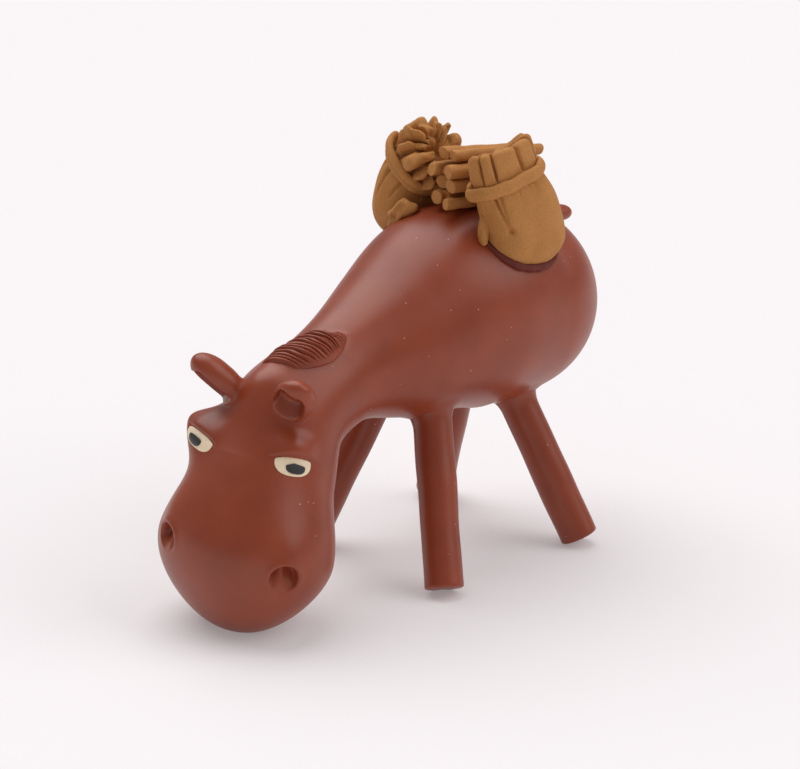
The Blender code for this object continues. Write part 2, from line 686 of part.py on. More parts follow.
def make_stick(number, centre, run, lift, radius):
    """Rolled stick with square ends, a little thinner in the middle, and the guide for what leans on it."""
    half = STICK_LENGTH / 2.0
    reaches = (-half, -half, 0.0, half, half)
    sizes = (0.0, radius, radius * (1.0 - STICK_WAIST), radius, 0.0)

    def laid_out(grow):
        def place(row, angle):
            size = sizes[row] * (1.0 + grow / radius)
            across = Vector((math.sin(angle), 0.0, 0.0)) + lift * math.cos(angle)
            return centre + run * (reaches[row] * (1.0 + grow / half)) + across * size
        return place

    mapped_sphere(f"stick_{number:02d}", len(reaches) - 1, STICK_SEGMENTS, laid_out(0.0), TAN_CLAY)
    guide_name = f"stick_guide_{number:02d}"
    return cutter(mapped_sphere(guide_name, len(reaches) - 1, STICK_SEGMENTS, laid_out(JOINT_GAP), TAN_CLAY))


def make_firewood(body):
    """Stack of uneven sticks that lies along the back, each stick laid on the ones below."""
    run = Vector((0.0, math.cos(STACK_TILT), -math.sin(STACK_TILT)))
    lift = Vector((0.0, math.sin(STACK_TILT), math.cos(STACK_TILT)))
    samples = 60
    places = [body.mark["shoulder"] * i / samples for i in range(samples + 1)]
    crest = max(places, key=lambda distance: body.place(distance, 0.0).dot(lift))
    middle = body.blend(body.points, crest)
    contact = body.place(crest, 0.0)
    bed = contact + run * ((STACK_MIDDLE - contact.y) / run.y)
    laid = [(middle.x, middle.dot(lift), (contact - middle).dot(lift))]
    guides = []
    for count in STICK_LAYERS:
        layer = [STICK_RADIUS * (1.0 + STICK_VARIATION * math.cos((len(guides) + i) * THICKNESS_WAVE))
                 for i in range(count)]
        aside = STACK_ASIDE - sum(layer) - JOINT_GAP * (count - 1) / 2.0
        placed = []
        for radius in layer:
            aside += radius
            height = resting_height(aside, radius, laid)
            stagger = STICK_STAGGER * math.sin(len(guides) * STAGGER_WAVE)
            centre = bed + run * stagger + lift * (height - bed.dot(lift)) + Vector((aside, 0.0, 0.0))
            guides.append(make_stick(len(guides) + 1, centre, run, lift, radius))
            placed.append((aside, height, radius))
            aside += radius + JOINT_GAP
        laid += placed
    return guides


def centre_on_ground():
    """Move the root so that the origin lies under the middle of the donkey, on the ground."""
    bpy.context.view_layer.update()
    graph = bpy.context.evaluated_depsgraph_get()
    corners = []
    for piece in bpy.data.objects:
        if piece.type == "MESH" and not piece.hide_render:
            made = piece.evaluated_get(graph).to_mesh()
            corners += [vert.co.copy() for vert in made.vertices]
            piece.evaluated_get(graph).to_mesh_clear()
    low = [min(corner[i] for corner in corners) for i in range(3)]
    high = [max(corner[i] for corner in corners) for i in range(3)]
    root.location = (-(low[0] + high[0]) / 2.0, -(low[1] + high[1]) / 2.0, -low[2])
    bpy.context.view_layer.update()


SIDES = (("left", 1.0), ("right", -1.0))

for leftover in list(bpy.data.objects):
    bpy.data.objects.remove(leftover, do_unlink=True)
root = bpy.data.objects.new("donkey", None)
bpy.context.scene.collection.objects.link(root)

donkey = body_form()
seat_guide = solid_guide("body_guide", donkey, -JOINT_GAP)
floor_guide = ground_guide(donkey)
make_torso(donkey)
make_head(donkey, floor_guide)
make_mane(donkey, seat_guide)
make_tail(donkey, seat_guide)
firewood_guides = make_firewood(donkey)
for side_name, side_sign in SIDES:
    lid = make_eye(donkey, seat_guide, side_name, side_sign)
    make_ear(donkey, seat_guide, lid, side_name, side_sign)
    make_leg(donkey, seat_guide, floor_guide, "leg_front_" + side_name, FRONT_HIP, FRONT_FOOT, side_sign)
    make_leg(donkey, seat_guide, floor_guide, "leg_rear_" + side_name, REAR_HIP, REAR_FOOT, side_sign)
    make_sack(donkey, seat_guide, firewood_guides, side_name, side_sign)
centre_on_ground()
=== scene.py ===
# %% [markdown]
# A clay donkey tea pet
#
# A tea pet is a small unglazed figure that keeps the teapot company on a tea tray. This one is a donkey
# of burnished red stoneware that rests its muzzle on the table and carries two tan sacks and a stack of
# firewood. The lesson starts from a frame of plain solids, which say where every piece is and how big it
# is, and remodels each piece the way a potter would make it: rolled, pressed, pleated and luted with slip.

# %% Load the frame of plain solids
import json
import math

import bmesh
import bpy
from mathutils import Matrix, Vector, noise
from mathutils.bvhtree import BVHTree


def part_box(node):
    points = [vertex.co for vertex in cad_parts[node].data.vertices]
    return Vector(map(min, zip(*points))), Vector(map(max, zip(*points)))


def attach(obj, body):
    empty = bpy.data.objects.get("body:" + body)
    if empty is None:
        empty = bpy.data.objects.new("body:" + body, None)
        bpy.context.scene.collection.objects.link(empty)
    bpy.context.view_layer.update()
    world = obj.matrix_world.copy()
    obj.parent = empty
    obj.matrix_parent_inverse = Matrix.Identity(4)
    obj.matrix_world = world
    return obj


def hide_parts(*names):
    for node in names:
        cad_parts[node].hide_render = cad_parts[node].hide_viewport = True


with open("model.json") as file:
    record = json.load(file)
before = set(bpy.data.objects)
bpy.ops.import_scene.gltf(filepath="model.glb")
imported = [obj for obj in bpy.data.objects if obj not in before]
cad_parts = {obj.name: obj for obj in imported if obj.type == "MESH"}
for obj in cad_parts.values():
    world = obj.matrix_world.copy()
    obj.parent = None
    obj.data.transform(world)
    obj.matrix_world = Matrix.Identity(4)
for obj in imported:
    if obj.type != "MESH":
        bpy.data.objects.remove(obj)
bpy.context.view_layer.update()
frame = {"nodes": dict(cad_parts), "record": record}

MM = 0.001
torso_low, torso_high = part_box("torso_shell")
MIDDLE = (torso_low.x + torso_high.x) / 2.0
RUMP = torso_high.y


def spot(aside, forward, height):
    """A place on the donkey in mm: aside to its left, forward of the end of its rump, above the table."""
    return Vector((MIDDLE + aside * MM, RUMP - forward * MM, height * MM))


# %% [markdown]
# The camera and the light
#
# The photograph looks down on the donkey from its left front with a long lens, so the camera stands
# well away. The light is that of a light tent: two very large soft lights, one above the donkey and
# one behind it, and a pale room all round. The floor is a pale sheet that keeps the soft shadow.

# %% Camera
AZIMUTH = math.radians(42.5)
ELEVATION = math.radians(18.0)
DISTANCE = 0.7274
TARGET = spot(0.0, 65.5, 48.2)

camera = bpy.data.objects.new("camera", bpy.data.cameras.new("camera"))
bpy.context.scene.collection.objects.link(camera)
back = Vector((math.sin(AZIMUTH) * math.cos(ELEVATION), -math.cos(AZIMUTH) * math.cos(ELEVATION),
               math.sin(ELEVATION)))
camera.location = TARGET + back * DISTANCE
camera.rotation_euler = (-back).to_track_quat("-Z", "Y").to_euler()
camera.data.sensor_width = 36.0
camera.data.lens = 126.0
camera.data.clip_start = 0.01
bpy.context.scene.camera = camera
bpy.context.scene.view_settings.view_transform = "Standard"
print("camera at", [round(v, 3) for v in camera.location])


# %% Colours and nodes
def linear(hex_colour):
    """An sRGB hex colour as linear RGBA."""
    channels = [int(hex_colour[i:i + 2], 16) / 255.0 for i in (1, 3, 5)]
    return (*[c / 12.92 if c <= 0.04045 else ((c + 0.055) / 1.055) ** 2.4 for c in channels], 1.0)


def add_node(tree, kind, inputs=(), **settings):
    """Add a node; an input takes a value or the socket that feeds it."""
    made = tree.nodes.new(kind)
    for name, value in settings.items():
        setattr(made, name, value)
    for name, value in dict(inputs).items():
        if isinstance(value, bpy.types.NodeSocket):
            tree.links.new(value, made.inputs[name])
        else:
            made.inputs[name].default_value = value
    return made


# %% Light and floor
LIGHTS = {  # where each light comes from, its strength and how wide it is
    "rear_light": (Vector((0.58, 0.45, 0.68)), 1.0, 50.0),
    "top_light": (Vector((-0.42, 0.12, 0.90)), 2.2, 64.0)}
ROOM_STRENGTH = 0.33
FLOOR_HALF, FLOOR_GLOW = 4.0, 0.24  # in metres; the glow keeps the shadow pale

for name, (source, strength, spread) in LIGHTS.items():
    soft_light = bpy.data.objects.new(name, bpy.data.lights.new(name, "SUN"))
    soft_light.data.energy = strength
    soft_light.data.angle = math.radians(spread)
    soft_light.rotation_euler = (-source).to_track_quat("-Z", "Y").to_euler()
    bpy.context.scene.collection.objects.link(soft_light)
world = bpy.data.worlds.new("pale_room")
bpy.context.scene.world = world
world.use_nodes = True
world.node_tree.nodes["Background"].inputs["Color"].default_value = linear("#f6f3f3")
world.node_tree.nodes["Background"].inputs["Strength"].default_value = ROOM_STRENGTH

mesh = bmesh.new()
bmesh.ops.create_grid(mesh, x_segments=1, y_segments=1, size=FLOOR_HALF)
floor_data = bpy.data.meshes.new("floor")
mesh.to_mesh(floor_data)
mesh.free()
floor = bpy.data.objects.new("floor", floor_data)
bpy.context.scene.collection.objects.link(floor)
paper = bpy.data.materials.new("matt_white_paper")
paper.use_nodes = True
sheet = paper.node_tree.nodes["Principled BSDF"].inputs
sheet["Base Color"].default_value = linear("#d2cecf")
sheet["Emission Color"].default_value = linear("#f6f3f5")
sheet["Emission Strength"].default_value = FLOOR_GLOW
sheet["Roughness"].default_value = 0.9
sheet["Specular IOR Level"].default_value = 0.0
floor.data.materials.append(paper)
print("lights:", list(LIGHTS), "on a floor", 2.0 * FLOOR_HALF, "m wide")

# %% [markdown]
# The clays
#
# Nothing here is glazed. The donkey is red stoneware, rubbed with the back of a spoon while leather-hard,
# so its surface is closed and has a satin sheen with a few pale mica flecks. The load is a sandier tan
# clay that was left as the fingers and the knife made it. The eyes are cream and black clay, pressed in.


# %% Red stoneware, burnished: closed satin skin, slightly mottled, with mica flecks
FLECK_RADIUS, FLECK_RARITY = 0.055, 0.62  # as shares: of the space between flecks, and of flecks left out


def new_clay(name, roughness, ior):
    """A material with its shader, and Object coordinates to paint by."""
    material = bpy.data.materials.new(name)
    material.use_nodes = True
    tree = material.node_tree
    shader = tree.nodes["Principled BSDF"]
    shader.inputs["Roughness"].default_value = roughness
    shader.inputs["IOR"].default_value = ior
    place = add_node(tree, "ShaderNodeTexCoord").outputs["Object"]
    return material, tree, shader, place


def per_mm(size):
    """Texture scale at which one feature is that many millimetres wide."""
    return 1.0 / (size * MM)


def red_stoneware():
    """Mottled over a centimetre and flecked with mica; the grain is drawn coarse so that it shows."""
    material, tree, shader, place = new_clay("burnished_red_stoneware", 0.37, 1.48)
    cloud = add_node(tree, "ShaderNodeTexNoise", {"Vector": place, "Scale": per_mm(11.0), "Detail": 4.0})
    tone = add_node(tree, "ShaderNodeMix", {"Factor": cloud.outputs["Fac"], "A": linear("#7d3118"),
                                           "B": linear("#9f4729")}, data_type="RGBA")
    grain = add_node(tree, "ShaderNodeTexNoise", {"Vector": place, "Scale": per_mm(0.35), "Detail": 2.0})
    cells = add_node(tree, "ShaderNodeTexVoronoi", {"Vector": place, "Scale": per_mm(3.2)})
    fleck = add_node(tree, "ShaderNodeMath", {0: cells.outputs["Distance"], 1: FLECK_RADIUS},
                     operation="LESS_THAN")
    chosen = add_node(tree, "ShaderNodeSeparateColor", {"Color": cells.outputs["Color"]})
    rare = add_node(tree, "ShaderNodeMath", {0: chosen.outputs["Red"], 1: FLECK_RARITY},
                    operation="GREATER_THAN")
    shown = add_node(tree, "ShaderNodeMath", {0: fleck.outputs[0], 1: rare.outputs[0]}, operation="MULTIPLY")
    painted = add_node(tree, "ShaderNodeMix", {"Factor": shown.outputs[0], "A": tone.outputs["Result"],
                                              "B": linear("#c99b86")}, data_type="RGBA")
    bump = add_node(tree, "ShaderNodeBump", {"Height": grain.outputs["Fac"], "Strength": 0.12,
                                            "Distance": 0.05 * MM})
    tree.links.new(painted.outputs["Result"], shader.inputs["Base Color"])
    tree.links.new(bump.outputs["Normal"], shader.inputs["Normal"])
    return material


# %% Tan stoneware, left raw: matt and sandy, with painted shade darkening the hollows of its grain
def tan_stoneware():
    """Toned over several millimetres; the sand is drawn at half a millimetre so that it shows, and painted
    shade darkens its hollows.
    """
    material, tree, shader, place = new_clay("raw_tan_stoneware", 0.7, 1.3)
    cloud = add_node(tree, "ShaderNodeTexNoise", {"Vector": place, "Scale": per_mm(7.0), "Detail": 4.0})
    tone = add_node(tree, "ShaderNodeMix", {"Factor": cloud.outputs["Fac"], "A": linear("#ac743c"),
                                           "B": linear("#c98d51")}, data_type="RGBA")
    grain = add_node(tree, "ShaderNodeTexNoise", {"Vector": place, "Scale": per_mm(0.45), "Detail": 3.0})
    # painted shade: where the grain sinks, the same grain that drives the bump, the tone is darkened towards
    # #7a4c26
    hollow = add_node(tree, "ShaderNodeMapRange", {"Value": grain.outputs["Fac"], "From Min": 0.56,
                                                   "From Max": 0.36, "To Max": 0.22})
    tone_with_painted_pit_shade = add_node(tree, "ShaderNodeMix", {"Factor": hollow.outputs["Result"], "A": tone.outputs["Result"],
                                              "B": linear("#7a4c26")}, data_type="RGBA")
    bump = add_node(tree, "ShaderNodeBump", {"Height": grain.outputs["Fac"], "Strength": 0.45,
                                            "Distance": 0.15 * MM})
    tree.links.new(tone_with_painted_pit_shade.outputs["Result"], shader.inputs["Base Color"])
    tree.links.new(bump.outputs["Normal"], shader.inputs["Normal"])
    return material


# %% Inlaid clays and slip
def plain_clay(name, light, dark, roughness):
    """A fine clay of one colour, a little uneven."""
    material, tree, shader, place = new_clay(name, roughness, 1.5)
    cloud = add_node(tree, "ShaderNodeTexNoise", {"Vector": place, "Scale": per_mm(1.2), "Detail": 4.0})
    tone = add_node(tree, "ShaderNodeMix", {"Factor": cloud.outputs["Fac"], "A": linear(light),
                                           "B": linear(dark)}, data_type="RGBA")
    bump = add_node(tree, "ShaderNodeBump", {"Height": cloud.outputs["Fac"], "Strength": 0.15,
                                            "Distance": 0.05 * MM})
    tree.links.new(tone.outputs["Result"], shader.inputs["Base Color"])
    tree.links.new(bump.outputs["Normal"], shader.inputs["Normal"])
    return material


RED = red_stoneware()
TAN = tan_stoneware()
CREAM = plain_clay("cream_inlay_clay", "#f8e6ca", "#ecd3b0", 0.5)
BLACK = plain_clay("black_inlay_clay", "#3c3b3b", "#2c2b2b", 0.35)
SLIP = plain_clay("dark_red_slip", "#74291b", "#561d14", 0.8)
FINISHES = {"red_stoneware": RED, "tan_clay": TAN, "cream_clay": CREAM, "black_clay": BLACK,
            "dark_slip": SLIP}
for part in frame["record"]["subparts"]:
    solid = frame["nodes"][part["node"]]
    solid.data.materials.clear()
    solid.data.materials.append(FINISHES[part["material_slot"]])
print("clays:", [material.name for material in FINISHES.values()])

# %% [markdown]
# Lofts
#
# Most of these forms are rolls and pouches: round sections strung on a line. A UV sphere is already a
# stack of rings between two poles, so each form starts as one, and its rings are restrung on the form's
# own line. That gives clean rings of quads with closed ends, and no face has to be listed by hand.


# %% Loft helpers
def slope(marks, values, index):
    """Slope of the values at a station, weighted by the two spans beside it."""
    low, high = max(index - 1, 0), min(index + 1, len(marks) - 1)
    if low == index or high == index:
        return (values[high] - values[low]) / (marks[high] - marks[low])
    before, after = marks[index] - marks[low], marks[high] - marks[index]
    arrive = (values[index] - values[low]) / before
    leave = (values[high] - values[index]) / after
    return (arrive * after + leave * before) / (before + after)


def smooth(marks, values, distance):
    """A smooth curve through the values at the marks."""
    distance = min(max(distance, marks[0]), marks[-1])
    index = 0
    while index < len(marks) - 2 and distance > marks[index + 1]:
        index += 1
    span = marks[index + 1] - marks[index]
    t = (distance - marks[index]) / span
    rise = t * t * (3.0 - 2.0 * t)
    leave = slope(marks, values, index) * (span * t * (1.0 - t) ** 2)
    arrive = slope(marks, values, index + 1) * (span * t * t * (1.0 - t))
    return values[index] * (1.0 - rise) + values[index + 1] * rise + leave - arrive


def ease(value):
    """From 0 to 1 without a corner at either end."""
    value = min(max(value, 0.0), 1.0)
    return value * value * (3.0 - 2.0 * value)


class Loft:
    """Oval sections strung on a smooth line; a positive dome closes an end as a cap of that length."""

    def __init__(self, centres, widths, heights, side, domes):
        self.centres, self.widths, self.heights = centres, widths, heights
        self.side = Vector(side)
        self.domes = domes
        self.marks = [0.0]
        for start, end in zip(centres, centres[1:]):
            self.marks.append(self.marks[-1] + (end - start).length)
        self.length = self.marks[-1]
        self.kept = {}

    def section(self, distance):
        """Centre, side, up, half width and half height of the section at a distance."""
        if distance not in self.kept:
            step = self.length / 2000.0
            ahead = smooth(self.marks, self.centres, distance + step)
            forward = (ahead - smooth(self.marks, self.centres, distance - step)).normalized()
            side = (self.side - forward * self.side.dot(forward)).normalized()
            share = 1.0
            for dome, reach in ((self.domes[0], distance), (self.domes[1], self.length - distance)):
                if dome > 0.0 and reach < dome:
                    share = math.sqrt(max(0.0, 1.0 - ((dome - reach) / dome) ** 2))
            self.kept[distance] = (smooth(self.marks, self.centres, distance), side, forward.cross(side),
                                   smooth(self.marks, self.widths, distance) * share,
                                   smooth(self.marks, self.heights, distance) * share)
        return self.kept[distance]

    def place(self, distance, angle):
        """Point on the surface; angle 0 is up and grows to the donkey's left."""
        centre, side, up, width, height = self.section(distance)
        return centre + side * (width * math.sin(angle)) + up * (height * math.cos(angle))

    def seat(self, distance, angle):
        """Frame on the surface: X across, Y along the line, Z outwards."""
        step, turn = self.length / 1000.0, 0.01
        along = self.place(distance + step, angle) - self.place(distance - step, angle)
        across = self.place(distance, angle + turn) - self.place(distance, angle - turn)
        out = along.cross(across).normalized()
        if out.dot(self.place(distance, angle) - self.section(distance)[0]) < 0.0:
            out.negate()
        along.normalize()
        turned = Matrix((along.cross(out), along, out)).transposed().to_4x4()
        return Matrix.Translation(self.place(distance, angle)) @ turned


def cap_rows(dome, count):
    """Distances down a dome from its tip, even along its curve."""
    return [dome * (1.0 - math.cos(math.pi / 2.0 * i / count)) for i in range(count + 1)]


def even_rows(start, end, count):
    """Distances after start, up to end."""
    return [start + (end - start) * i / count for i in range(1, count + 1)]


def ringed(rows, segments, place):
    """A UV sphere whose rings, from pole to pole, go where place(row, angle) says."""
    made = bmesh.new()
    bmesh.ops.create_uvsphere(made, u_segments=segments, v_segments=rows, radius=1.0)
    for vert in made.verts:
        row = round(math.acos(max(-1.0, min(1.0, vert.co.z))) / math.pi * rows)
        vert.co = place(row, math.atan2(vert.co.x, vert.co.y))
    made.normal_update()
    bmesh.ops.recalc_face_normals(made, faces=made.faces)
    made.normal_update()
    return made


def finish_piece(name, made, material, slot, *nodes, crisp=None):
    """Turn a bmesh into a piece that stands for its CAD nodes."""
    data = bpy.data.meshes.new(name)
    made.normal_update()
    made.to_mesh(data)
    made.free()
    data.shade_smooth()
    if crisp:
        data.set_sharp_from_angle(angle=crisp)
    data.materials.append(material)
    piece = bpy.data.objects.new(name, data)
    bpy.context.scene.collection.objects.link(piece)
    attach(piece, "root")
    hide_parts(*nodes)
    print(f"{name}: {len(data.polygons)} faces for {', '.join(nodes)}")
    return piece


# %% [markdown]
# The body
#
# The potter joins a hollow barrel to a hollow head and smooths the seam away, so the body is one skin
# from the rump to the muzzle. Its centre line runs level along the back, sinks through the neck and turns
# down the face. The rings stand closer together on the head, where the lids and nostrils are pressed in.

# %% Body loft
BODY_STATIONS = {  # forward of the rump's end, height of the centre, half width, half height, all in mm
    "rump": (0.0, 65.0, 26.2, 26.2), "hip": (26.0, 63.5, 26.2, 26.2), "barrel": (46.5, 64.7, 26.4, 27.4),
    "shoulder": (67.5, 60.8, 21.5, 21.1), "neck": (92.5, 56.0, 13.5, 13.5), "poll": (106.5, 49.5, 14.7, 15.0),
    "brow": (114.0, 38.0, 17.3, 17.5), "muzzle": (121.8, 20.9, 23.7, 20.5), "chin": (128.5, -1.0, 22.5, 14.7)}
THROAT_AT, THROAT_REACH, THROAT_RUBS = spot(0.0, 98.0, 38.0), 12.0, 90
body_centres = [spot(0.0, forward, height) for forward, height, _, _ in BODY_STATIONS.values()]
body_widths = [width * MM for _, _, width, _ in BODY_STATIONS.values()]
body_heights = [height * MM for _, _, _, height in BODY_STATIONS.values()]
rump_cap = (body_centres[1] - body_centres[0]).length
chin_cap = (body_centres[-1] - body_centres[-2]).length
body = Loft(body_centres, body_widths, body_heights, (1.0, 0.0, 0.0), (rump_cap, chin_cap))
mark = dict(zip(BODY_STATIONS, body.marks))

body_distances = cap_rows(rump_cap, 48)
body_distances += even_rows(rump_cap, mark["neck"], 84)
body_distances += even_rows(mark["neck"], body.length - chin_cap, 112)
body_distances += [body.length - reach for reach in cap_rows(chin_cap, 56)[-2::-1]]
skin = ringed(len(body_distances) - 1, 240, lambda row, angle: body.place(body_distances[row], angle))
throat = [vert for vert in skin.verts if (vert.co - THROAT_AT).length < THROAT_REACH * MM]
for _ in range(THROAT_RUBS):  # the rings crowd together where the neck bends, so the throat is rubbed smooth
    bmesh.ops.smooth_vert(skin, verts=throat, factor=0.5, use_axis_x=True, use_axis_y=True, use_axis_z=True)
print("body skin:", len(skin.verts), "vertices,", round(body.length / MM, 1), "mm along its centre line")

# %% [markdown]
# Lids, nostrils and the flat of the muzzle
#
# The face was pressed and pushed, so it is sculpted the same way: a seat is found on the skin, and the
# vertices near it move along the seat's own direction by a depth worked out from their place on it. The
# head is turned to the donkey's left, which is why the angles of each pair differ.


# %% Pressing and pushing
def press(made, seat, reach, depth):
    """Move the vertices near a seat along it by depth(x, y, z), all in mm on the seat."""
    to_seat = seat.inverted()
    out = seat.col[2].to_3d()
    for vert in made.verts:
        local = (to_seat @ vert.co) / MM
        if max(abs(local.x), abs(local.y), abs(local.z)) < reach:
            vert.co += out * (depth(*local) * MM)


def refine(made, seat, reach):
    """Split the faces near a seat so that a fine edge can be pressed there."""
    centre = seat.to_translation()
    near = [edge for edge in made.edges if all((vert.co - centre).length < reach * MM for vert in edge.verts)]
    bmesh.ops.subdivide_edges(made, edges=near, cuts=1, use_grid_fill=True)


def swelling(height, radius):
    """A soft round swelling, or a hollow where the height is negative."""
    return lambda x, y, z: height * math.exp(-(x * x + y * y) / radius ** 2)


# %% [markdown]
# Seats on the head are given by the distance in mm along the body's line and by the angle from the crest,
# which grows to the donkey's left. On a seat, X runs to the donkey's right, Y to the muzzle and Z outwards.

# %% Crown, cheek and brows
SWELLINGS = {  # seat, height and radius
    "crown": ((108.8, 6.0), 3.0, 7.0), "hollow of the far cheek": ((131.0, -72.0), -1.6, 9.0),
    "far eye": ((121.0, -45.0), 4.4, 5.6), "far brow": ((116.9, -54.0), 4.2, 4.4),
    "near brow": ((115.5, 58.0), 0.7, 2.6)}


def skin_seat(distance, angle):
    """A seat on the donkey's skin."""
    return body.seat(distance * MM, math.radians(angle))


for seat_at, height, radius in SWELLINGS.values():
    press(skin, skin_seat(*seat_at), radius * 2.8, swelling(height, radius))
print("swellings and hollows:", list(SWELLINGS))

# %% Eye sockets and lids
SIDES = {"left": 1.0, "right": -1.0}
EYE_AT = {"left": (119.9, 61.5), "right": (121.5, -34.5)}
EYE_TILT = {"left": 10.0, "right": 8.0}
EYE_TURN_IN = {"left": 4.0, "right": 36.0}
EYE_HALF_WIDTH = {"left": 4.8, "right": 5.5}
EYE_ABOVE, EYE_BELOW = 1.4, {"left": 3.2, "right": 2.6}
LID_HALF_WIDTH, LID_EDGE = 5.7, 1.5
LID_HEIGHT = {"left": 1.5, "right": 1.2}
LID_BACK = {"left": 7.5, "right": 9.0}
EYE_REFINED, LID_REACH = 9.0, 15.0


def lid(side):
    """A pad that ends in a rounded edge along the top of the eye and fades out above it."""
    def rise(x, y, z):
        above = -EYE_ABOVE - y
        if above < 0.0:
            return 0.0
        across = math.exp(-(x / LID_HALF_WIDTH) ** 4)
        edge = math.sqrt(1.0 - (1.0 - min(above / LID_EDGE, 1.0)) ** 2)
        fade = 1.0 - ease((above - LID_EDGE) / (LID_BACK[side] - LID_EDGE))
        return LID_HEIGHT[side] * across * edge * fade
    return rise


eye_seats = {}
for side, sign in SIDES.items():
    eye_seats[side] = (skin_seat(*EYE_AT[side]) @ Matrix.Rotation(sign * math.radians(EYE_TILT[side]), 4, "Z")
                       @ Matrix.Rotation(sign * math.radians(EYE_TURN_IN[side]), 4, "Y"))
    refine(skin, eye_seats[side], EYE_REFINED)
    press(skin, eye_seats[side], LID_REACH, lid(side))
print("lids pressed over", len(eye_seats), "eyes; vertices on the skin now:", len(skin.verts))

# %% Nostrils
NOSTRIL_AT = {"left": (146.2, 67.0), "right": (144.0, -22.5)}
NOSTRIL_RADIUS, NOSTRIL_DEPTH, NOSTRIL_EDGE = 3.9, 3.6, 0.8
RIDGE_PLACE, RIDGE_WIDTH, RIDGE_SHARE = 0.9, 1.3, 0.34
RIM_PLACE, RIM_WIDTH, RIM_HEIGHT = 0.5, 0.8, 0.35
WING_BACK, WING_HEIGHT, WING_RADIUS, WING_REACH = 7.0, 0.9, 5.2, 16.0  # the swelling above a nostril
NOSTRIL_REFINED, NOSTRIL_REACH = 6.0, 7.0


def nostril(sign):
    """A slanting poke, deep at the top and running out at the bottom, with a ridge in it."""
    def poke(x, y, z):
        away = math.hypot(x, y)
        ramp = ease((NOSTRIL_RADIUS * 1.05 - y) / (2.0 * NOSTRIL_RADIUS))
        floor_share = ease((NOSTRIL_RADIUS - away) / NOSTRIL_EDGE)
        ridge = RIDGE_SHARE * math.exp(-((x - sign * RIDGE_PLACE) / RIDGE_WIDTH) ** 2)
        rim = RIM_HEIGHT * math.exp(-((away - NOSTRIL_RADIUS - RIM_PLACE) / RIM_WIDTH) ** 2) * ramp
        return rim - NOSTRIL_DEPTH * floor_share * ramp * (1.0 - ridge)
    return poke


for side, sign in SIDES.items():
    seat = skin_seat(*NOSTRIL_AT[side])
    refine(skin, seat, NOSTRIL_REFINED)
    wing = seat @ Matrix.Translation((0.0, -WING_BACK * MM, 0.0))
    press(skin, wing, WING_REACH, swelling(WING_HEIGHT, WING_RADIUS))
    press(skin, seat, NOSTRIL_REACH, nostril(sign))
for vert in skin.verts:  # the underside of the muzzle is rubbed flat on the table
    vert.co.z = max(vert.co.z, 0.0)
skin.normal_update()
print("nostrils poked", NOSTRIL_DEPTH, "mm deep; vertices on the skin now:", len(skin.verts))

# %% [markdown]
# Legs, and how a joint is luted
#
# Each leg is a roll of clay, cut square at the foot and stuck to the belly with slip; then a wet finger
# runs round the joint and fills its corner. To lute two meshes, each vertex is pushed outwards by how near
# it comes to the other piece, which is the smooth union of two solids. So both skins swell into one
# fillet, and the pieces stay separate.


# %% Luting
def swell(made, tree, reach):
    """Push vertices outwards where they come near the other piece's surface."""
    moves = []
    for vert in made.verts:
        near, normal, _, gap = tree.find_nearest(vert.co, reach)
        if near is not None:
            share = 1.0 if (vert.co - near).dot(normal) < 0.0 else 1.0 - gap / reach
            moves.append((vert, vert.normal * (reach / 4.0 * share * share)))
    for vert, move in moves:
        vert.co += move
    made.normal_update()


def lute(piece, reach):
    """Blend a piece and the donkey's skin into each other."""
    piece_tree = BVHTree.FromBMesh(piece)
    skin_tree = BVHTree.FromBMesh(skin)
    swell(piece, skin_tree, reach * MM)
    swell(skin, piece_tree, reach * MM)


# %% Legs
HIPS = {"front": (6.6, 61.6, 51.3), "rear": (5.3, 33.7, 50.5)}
FEET = {"left": {"front": (27.1, 78.1), "rear": (29.4, 24.9)},
        "right": {"front": (25.7, 75.9), "rear": (26.6, 22.8)}}
LEG_RADIUS, LEG_SWELL, FOOT_EDGE, LEG_LUTE = 5.1, 0.25, 0.5, 4.0
LEG_ROWS, LEG_SEGMENTS = 90, 64
FOOT_SINK, LEG_WAVES = 0.4, 90.0  # mm that the foot's edge is rubbed off, waves of the roll per metre


def leg(end, side, sign):
    """A rolled leg from inside the belly down to a square-cut foot."""
    aside, forward, height = HIPS[end]
    hip = spot(sign * aside, forward, height)
    aside, forward = FEET[side][end]
    foot = spot(sign * aside, forward, 0.0)
    axis = (hip - foot).normalized()
    foot += axis * ((LEG_RADIUS * math.sqrt(1.0 - axis.z ** 2) - FOOT_SINK) * MM / axis.z)
    length = (hip - foot).length
    across = axis.orthogonal().normalized()
    other = axis.cross(across)
    rows = [0.0, 0.0, 0.0] + even_rows(0.0, FOOT_EDGE * MM, 3)
    sizes = [0.0, 0.5, 1.0 - FOOT_EDGE / LEG_RADIUS]
    sizes += [1.0 - FOOT_EDGE / LEG_RADIUS * (1.0 - math.sin(math.pi / 6.0 * i)) for i in (1, 2, 3)]
    trunk = even_rows(FOOT_EDGE * MM, length, LEG_ROWS)
    rows += trunk + [length]
    sizes += [1.0] * len(trunk) + [0.0]

    def place(row, angle):
        reach = rows[row]
        direction = across * math.sin(angle) + other * math.cos(angle)
        wave = noise.noise((foot + axis * reach + direction * LEG_RADIUS * MM) * LEG_WAVES)
        radius = (LEG_RADIUS + LEG_SWELL * wave) * MM * sizes[row]
        return foot + axis * reach + direction * radius

    made = ringed(len(rows) - 1, LEG_SEGMENTS, place)
    lute(made, LEG_LUTE)
    for vert in made.verts:
        vert.co.z = max(vert.co.z, 0.0)
    node = f"leg_{end}_{side}"
    return finish_piece(f"rolled_{node}", made, RED, "red_stoneware", node, crisp=math.radians(50.0))


for side, sign in SIDES.items():
    for end in HIPS:
        leg(end, side, sign)

# %% [markdown]
# Ears, mane and tail
#
# An ear is a fat leaf, folded along its length by a press of the thumb, so that it has a hollow with a
# thick rim. The mane is a wad laid along the nape and combed with the edge of a knife; the strokes are cut
# across its crest, leave locks of uneven height between them and run out above its smooth lower flank. The
# tail is a tongue of clay.

